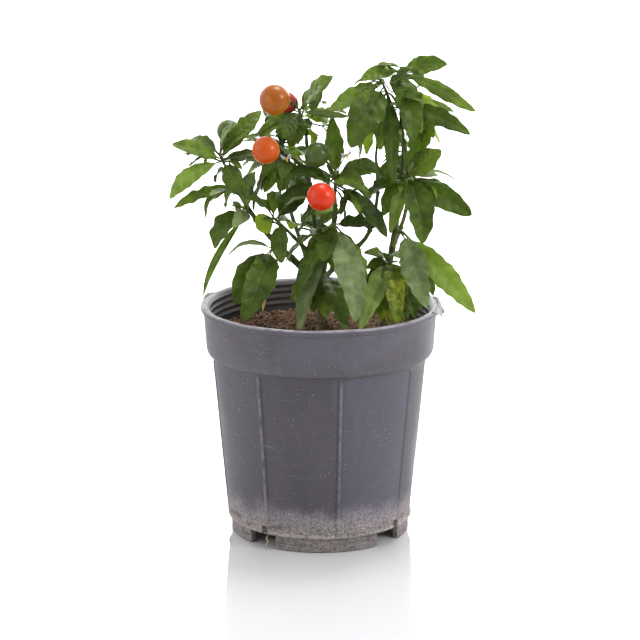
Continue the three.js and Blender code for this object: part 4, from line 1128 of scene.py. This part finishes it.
def add_berry(piece, centre, radius, stalk_way, colour, seed):
    """A slightly flattened ball with a dimple and calyx at its stalk and a small scar opposite."""
    draw = seeded(seed)
    axis = unit(-stalk_way)  # from the stalk towards the far end
    aside = unit(np.cross(axis, (0.31, 0.72, 0.55)))
    other = np.cross(axis, aside)
    rows, columns = 26, 40
    polar = np.linspace(0, math.pi, rows + 2)[1:-1]
    around = np.linspace(0, TURN, columns, endpoint=False)
    dimple, scar = 0.10 * np.exp(-(polar / 0.32) ** 2), 0.05 * np.exp(-((math.pi - polar) / 0.14) ** 2)
    reach = radius * (1 - dimple - scar)
    lump = 1 + 0.008 * np.sin(3 * around[None, :] + draw(0, TURN)) * np.sin(polar)[:, None]

    def spot(from_stalk, turn, distance):
        out = aside * np.cos(turn)[..., None] + other * np.sin(turn)[..., None]
        return (centre - axis * (np.cos(from_stalk) * distance * 0.97)[..., None]
                + out * (np.sin(from_stalk) * distance)[..., None])

    grid = spot(polar[:, None], around[None, :], reach[:, None] * lump)
    poles = [centre - axis * radius * 0.87, centre + axis * radius * 0.92]
    piece.add(np.vstack([grid.reshape(-1, 3), poles]), shell_faces(rows, columns, flip=False),
              BERRY_ORDER.index(colour))
    steps, hands = 7, (-1, -0.4, 0, 0.4, 1)
    share = np.linspace(0, 1, steps)
    half = 0.34 * np.sin(math.pi * (share * 0.86 + 0.14)) ** 0.8 * (1 - share * 0.3)
    lift = radius * (1.02 + 0.05 * share ** 2 + 0.07 * (share > 0.9)) + 0.12
    for lobe in range(5):
        turn = TURN * lobe / 5 + draw(-0.15, 0.15)
        away = lerp(0.08, 0.66 + draw(-0.08, 0.08), share)
        sheet = np.stack([spot(away, turn + hand * half * (1 - share ** 3) * 0.9, lift - 0.1 * abs(hand))
                          for hand in hands], axis=1)
        piece.add_sheet(sheet, centre + (sheet - centre) * (1 - 0.35 / radius), len(BERRY_ORDER))


def add_flower(piece, centre, way):
    """Five white petals bent back round a small yellow cone of anthers."""
    aside = unit(np.cross(way, (0.31, 0.72, 0.55)))
    other = np.cross(way, aside)
    steps, hands = 7, np.linspace(-1, 1, 5)
    share = np.linspace(0, 1, steps)
    half = PETAL["width"] / 2 * np.sin(math.pi * (0.12 + 0.88 * share)) ** 0.7
    reach = 0.5 + PETAL["length"] * np.sin(1.25 * share) / math.sin(1.25)
    rise = 0.9 - 1.9 * share ** 2
    for j in range(PETAL["count"]):
        turn = TURN * j / PETAL["count"]
        out = aside * math.cos(turn) + other * math.sin(turn)
        beside = np.cross(way, out)
        middle = centre + out * reach[:, None] + way * rise[:, None]
        cup = 0.35 * np.sin(math.pi * share)
        sheet = np.stack([middle + beside * (half * hand)[:, None] + way * (cup * hand ** 2)[:, None]
                          for hand in hands], axis=1)
        piece.add_sheet(sheet, sheet - way * 0.25, 0, flip=True)
    cone = np.linspace(0, 1, 6)
    add_tube(piece, centre + way * (0.4 + 2.6 * cone)[:, None], 0.95 - 0.55 * cone, 10, 1)


def add_bud(piece, centre, way):
    share = np.linspace(0, 1, 8)
    radii = 0.35 + 0.75 * np.sin(math.pi * share) ** 0.8
    add_tube(piece, centre + way * (share * 3.0 - 0.5)[:, None], radii, 10, 2)


# The whole plant

def packed_corners(name):
    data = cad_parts[name].data
    flat = np.zeros(len(data.vertices) * 3, np.float32)
    data.vertices.foreach_get("co", flat)
    return flat.reshape(-1, 3).astype(float) / MM


def standing_leaves(mass, curve):
    """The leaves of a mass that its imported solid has, each with its tint."""
    corners = packed_corners("foliage_" + mass.name)
    draw = seeded(mass.seed + 500)
    for told, tint in zip(mass.leaves, mass.tints):
        draw()  # keeps the place of the later draws
        options = told_candidates(curve, told)
        leaf = standing(options, corners)
        if leaf is None:
            print("no packed leaf for", mass.name, told)
        yield leaf or options[0], tint
    for options in rule_candidates(mass, curve):
        leaf = standing(options, corners)
        tint = "dmdmml"[int(draw(0, 6))]
        if leaf is not None:
            yield leaf, tint


def grow_fruit(mass, curve, twigs, berries, crowd):
    for index, (at, x, y, z, radius, colour) in enumerate(mass.fruits):
        root, centre = curve(at), np.array((x, y, z), float)
        away = centre - root
        stalk = bezier(root, root + away / 2 + UP * 0.15 * np.linalg.norm(away), centre)
        way = -tangent_of(stalk, 1.0)
        end = centre + way * radius * 0.9
        joined = bezier(root, root + (end - root) / 2 + UP * 0.18 * np.linalg.norm(end - root), end)
        add_twig(twigs, joined, (0.5, 0.75), mass.seed + 70 + index)
        add_berry(berries, centre, radius, way, colour, mass.seed + index)
        crowd.add_balls(centre[None], [radius])


def grow_stalks(shoots, twigs, flowers, crowd):
    for index, (name, at, points, ends_in) in enumerate(STALKS):
        curve = through_points([shoots[name](at)] + points)
        add_twig(twigs, curve, (0.4, 0.3), 700 + index)
        crowd.add_balls(curve(np.linspace(0.3, 1, 5)), [0.6] * 5)
        way = tangent_of(curve, 1.0)
        if ends_in == "flower":
            crowd.add_balls(curve(1.0)[None], [3.5])
            add_flower(flowers, curve(1.0), unit(way * 0.3 + np.array([0.25, -0.35, -1.0])))
        else:
            add_bud(flowers, curve(1.0), way)


def side_of(name):
    return next((side for side in ("back", "left", "right") if side in name), "middle")


def grow_plant(wood, fruit, leaf_finishes, flower_parts):
    limbs = {row[0]: Limb(*row) for row in LIMBS}
    crowd = Crowd()
    for index, limb in enumerate(limbs.values()):
        share = np.linspace(0, 1, 40)
        crowd.add_balls(limb.curve(share), limb.radius(share))
        make_limb(limb, wood, 300 + index)
    twigs = Piece("twigs", [wood[2]])
    berries = Piece("berries", fruit)
    flowers = Piece("flowers", flower_parts)
    sides = {side: Piece("leaves_" + side, leaf_finishes) for side in ("left", "middle", "right", "back")}
    shoots, grown = {}, []
    for mass in MASSES:
        limb = limbs[mass.limb]
        curve = shoots[mass.name] = stem_curve(mass, limb)
        foot = limb.radii[1] if mass.at == 1 else TWIG["root"]
        add_twig(twigs, curve, (foot, TWIG["tip"]), mass.seed)
        crowd.add_balls(curve(np.linspace(0, 1, 12)), np.linspace(TWIG["root"], TWIG["tip"], 12))
        grown += [(mass.name, leaf, tint) for leaf, tint in standing_leaves(mass, curve)]
        grow_fruit(mass, curve, twigs, berries, crowd)
    grow_stalks(shoots, twigs, flowers, crowd)
    grown += [(name, told_candidates(shoots[name], told)[0], tint) for name, tint, *told in FILLERS]
    draw = seeded(4242)
    for name, leaf, tint in grown:
        crowd.add_leaf(leaf, main=True)
        add_leaf(sides[side_of(name)], leaf, tint, draw)
    for mass in MASSES:
        leaves = sides[side_of(mass.name)]
        grow_bud_leaves(mass, shoots[mass.name], crowd, leaves)
        grow_sprays(mass, shoots[mass.name], crowd, twigs, leaves)
    for side, piece in sides.items():
        print(piece.name, len(piece.faces), "faces")
        owners = ["foliage_" + mass.name for mass in MASSES if side_of(mass.name) == side]
        piece.make("foliage", stands_for=owners)
    twigs.make("green_bark")
    berries.make("foliage")
    flowers.make("foliage")


make_pot(pot_finish("pot_plastic", (71, 67, 74)))
make_flash(plain_finish("torn_plastic", (150, 146, 150), (190, 186, 188), 0.6, 300, 0.0006))
make_soil([soil_finish("soil", (112, 88, 70)), soil_finish("soil_crumb", (132, 104, 82)),
           soil_finish("soil_grit", (156, 140, 118))])

wood = [stem_finish("bark_old", (112, 108, 72), 1.0), stem_finish("bark_mid", (92, 98, 52), 0.5),
        stem_finish("stem_green", (78, 94, 38), 0.1)]
fruit = [berry_finish("berry_" + name, *BERRY_COLOURS[name]) for name in BERRY_ORDER]
fruit.append(stem_finish("calyx", (84, 110, 44), 0.0))
leaf_finishes = [leaf_finish(*TINTS[letter], 0.45 if letter in THIN else 0.3, patches=PATCHES.get(letter))
                 for letter in TINT_ORDER]
leaf_finishes.append(leaf_finish("leaf_under", (112, 130, 78), under=True))
flower_parts = [plain_finish("petal", (206, 206, 200), (226, 226, 220), 0.55, 400, 0.0002),
                plain_finish("anther", (214, 170, 50), (226, 190, 84), 0.5, 700, 0.0002),
                plain_finish("bud", (116, 136, 62), (140, 156, 88), 0.5, 500, 0.0002)]
grow_plant(wood, fruit, leaf_finishes, flower_parts)

# The root that shows at the left notch

ROOT_WISP = [(-29.5, -41.2, 7.6), (-31.0, -44.0, 6.6), (-30.2, -45.2, 4.6), (-31.6, -45.6, 2.8),
             (-30.6, -46.2, 0.8)]
wisp = Piece("root_wisp", [plain_finish("root", (170, 158, 128), (140, 126, 98), 0.8, 500, 0.0004)])
add_tube(wisp, through_points(ROOT_WISP)(np.linspace(0, 1, 24)), np.linspace(0.55, 0.28, 24), 8, 0,
         bark_relief(24, 8, 9, 3, 0.2))
wisp.make("potting_mix")

# Floor and light

FLOOR = {"half": 9.0, "colour": (212, 212, 214)}
floor_finish = Finish("floor")
floor_finish.base = FLOOR["colour"]
floor_mesh = bpy.data.meshes.new("floor")
corners = [(FLOOR["half"] * x, FLOOR["half"] * y, 0) for x, y in ((-1, -1), (1, -1), (1, 1), (-1, 1))]
floor_mesh.from_pydata(corners, [], [(0, 1, 2, 3)])
floor_mesh.materials.append(floor_finish.done(Roughness=0.07, Specular_IOR_Level=0.9))
floor = add_object("floor", floor_mesh)

LIGHTS = [  # name, place and target in metres, width, height, watts
    ("top", (0.25, 0.45, 1.8), (0, 0, 0.15), 0.7, 0.7, 19),
    ("left", (-1.6, 0.5, 0.6), (0, 0, 0.15), 0.8, 1.2, 4),
    ("right", (1.6, 0.5, 0.6), (0, 0, 0.15), 0.8, 1.2, 4),
    ("key", (1.3, -0.7, 0.9), (0, 0, 0.2), 0.5, 0.5, 13),
    ("fill", (-1.5, -0.7, 0.6), (0, 0, 0.15), 0.6, 0.6, 6),
    ("panel", (0, 3.0, 0.84), (0, 0, 0.84), 4.8, 1.6, 86),
]
for name, place, target, width, height, watts in LIGHTS:
    data = bpy.data.lights.new(name, "AREA")
    data.shape = "RECTANGLE"
    data.size, data.size_y, data.energy = width, height, watts
    lamp = add_object(name, data)
    lamp.location = place
    x, y, z = np.array(target, float) - np.array(place, float)
    lamp.rotation_euler = (math.atan2(math.hypot(x, y), -z), 0, math.atan2(-x, y))

SURROUND = {"From Min": -0.95, "From Max": 0.1, "To Min": 0.56, "To Max": 1.04}  # its strength along Y
world = bpy.data.worlds.new("studio")
world.use_nodes = True
studio = world.node_tree
background = studio.nodes["Background"]
direction = studio.nodes.new("ShaderNodeTexCoord")
split = studio.nodes.new("ShaderNodeSeparateXYZ")
fall = studio.nodes.new("ShaderNodeMapRange")
fall.interpolation_type = "SMOOTHSTEP"
for socket, value in SURROUND.items():
    fall.inputs[socket].default_value = value
studio.links.new(direction.outputs["Generated"], split.inputs[0])
studio.links.new(split.outputs["Y"], fall.inputs["Value"])
studio.links.new(fall.outputs[0], background.inputs["Strength"])
background.inputs["Color"].default_value = (1, 1, 1, 1)
bpy.context.scene.world = world
bpy.context.scene.view_settings.view_transform = "Standard"
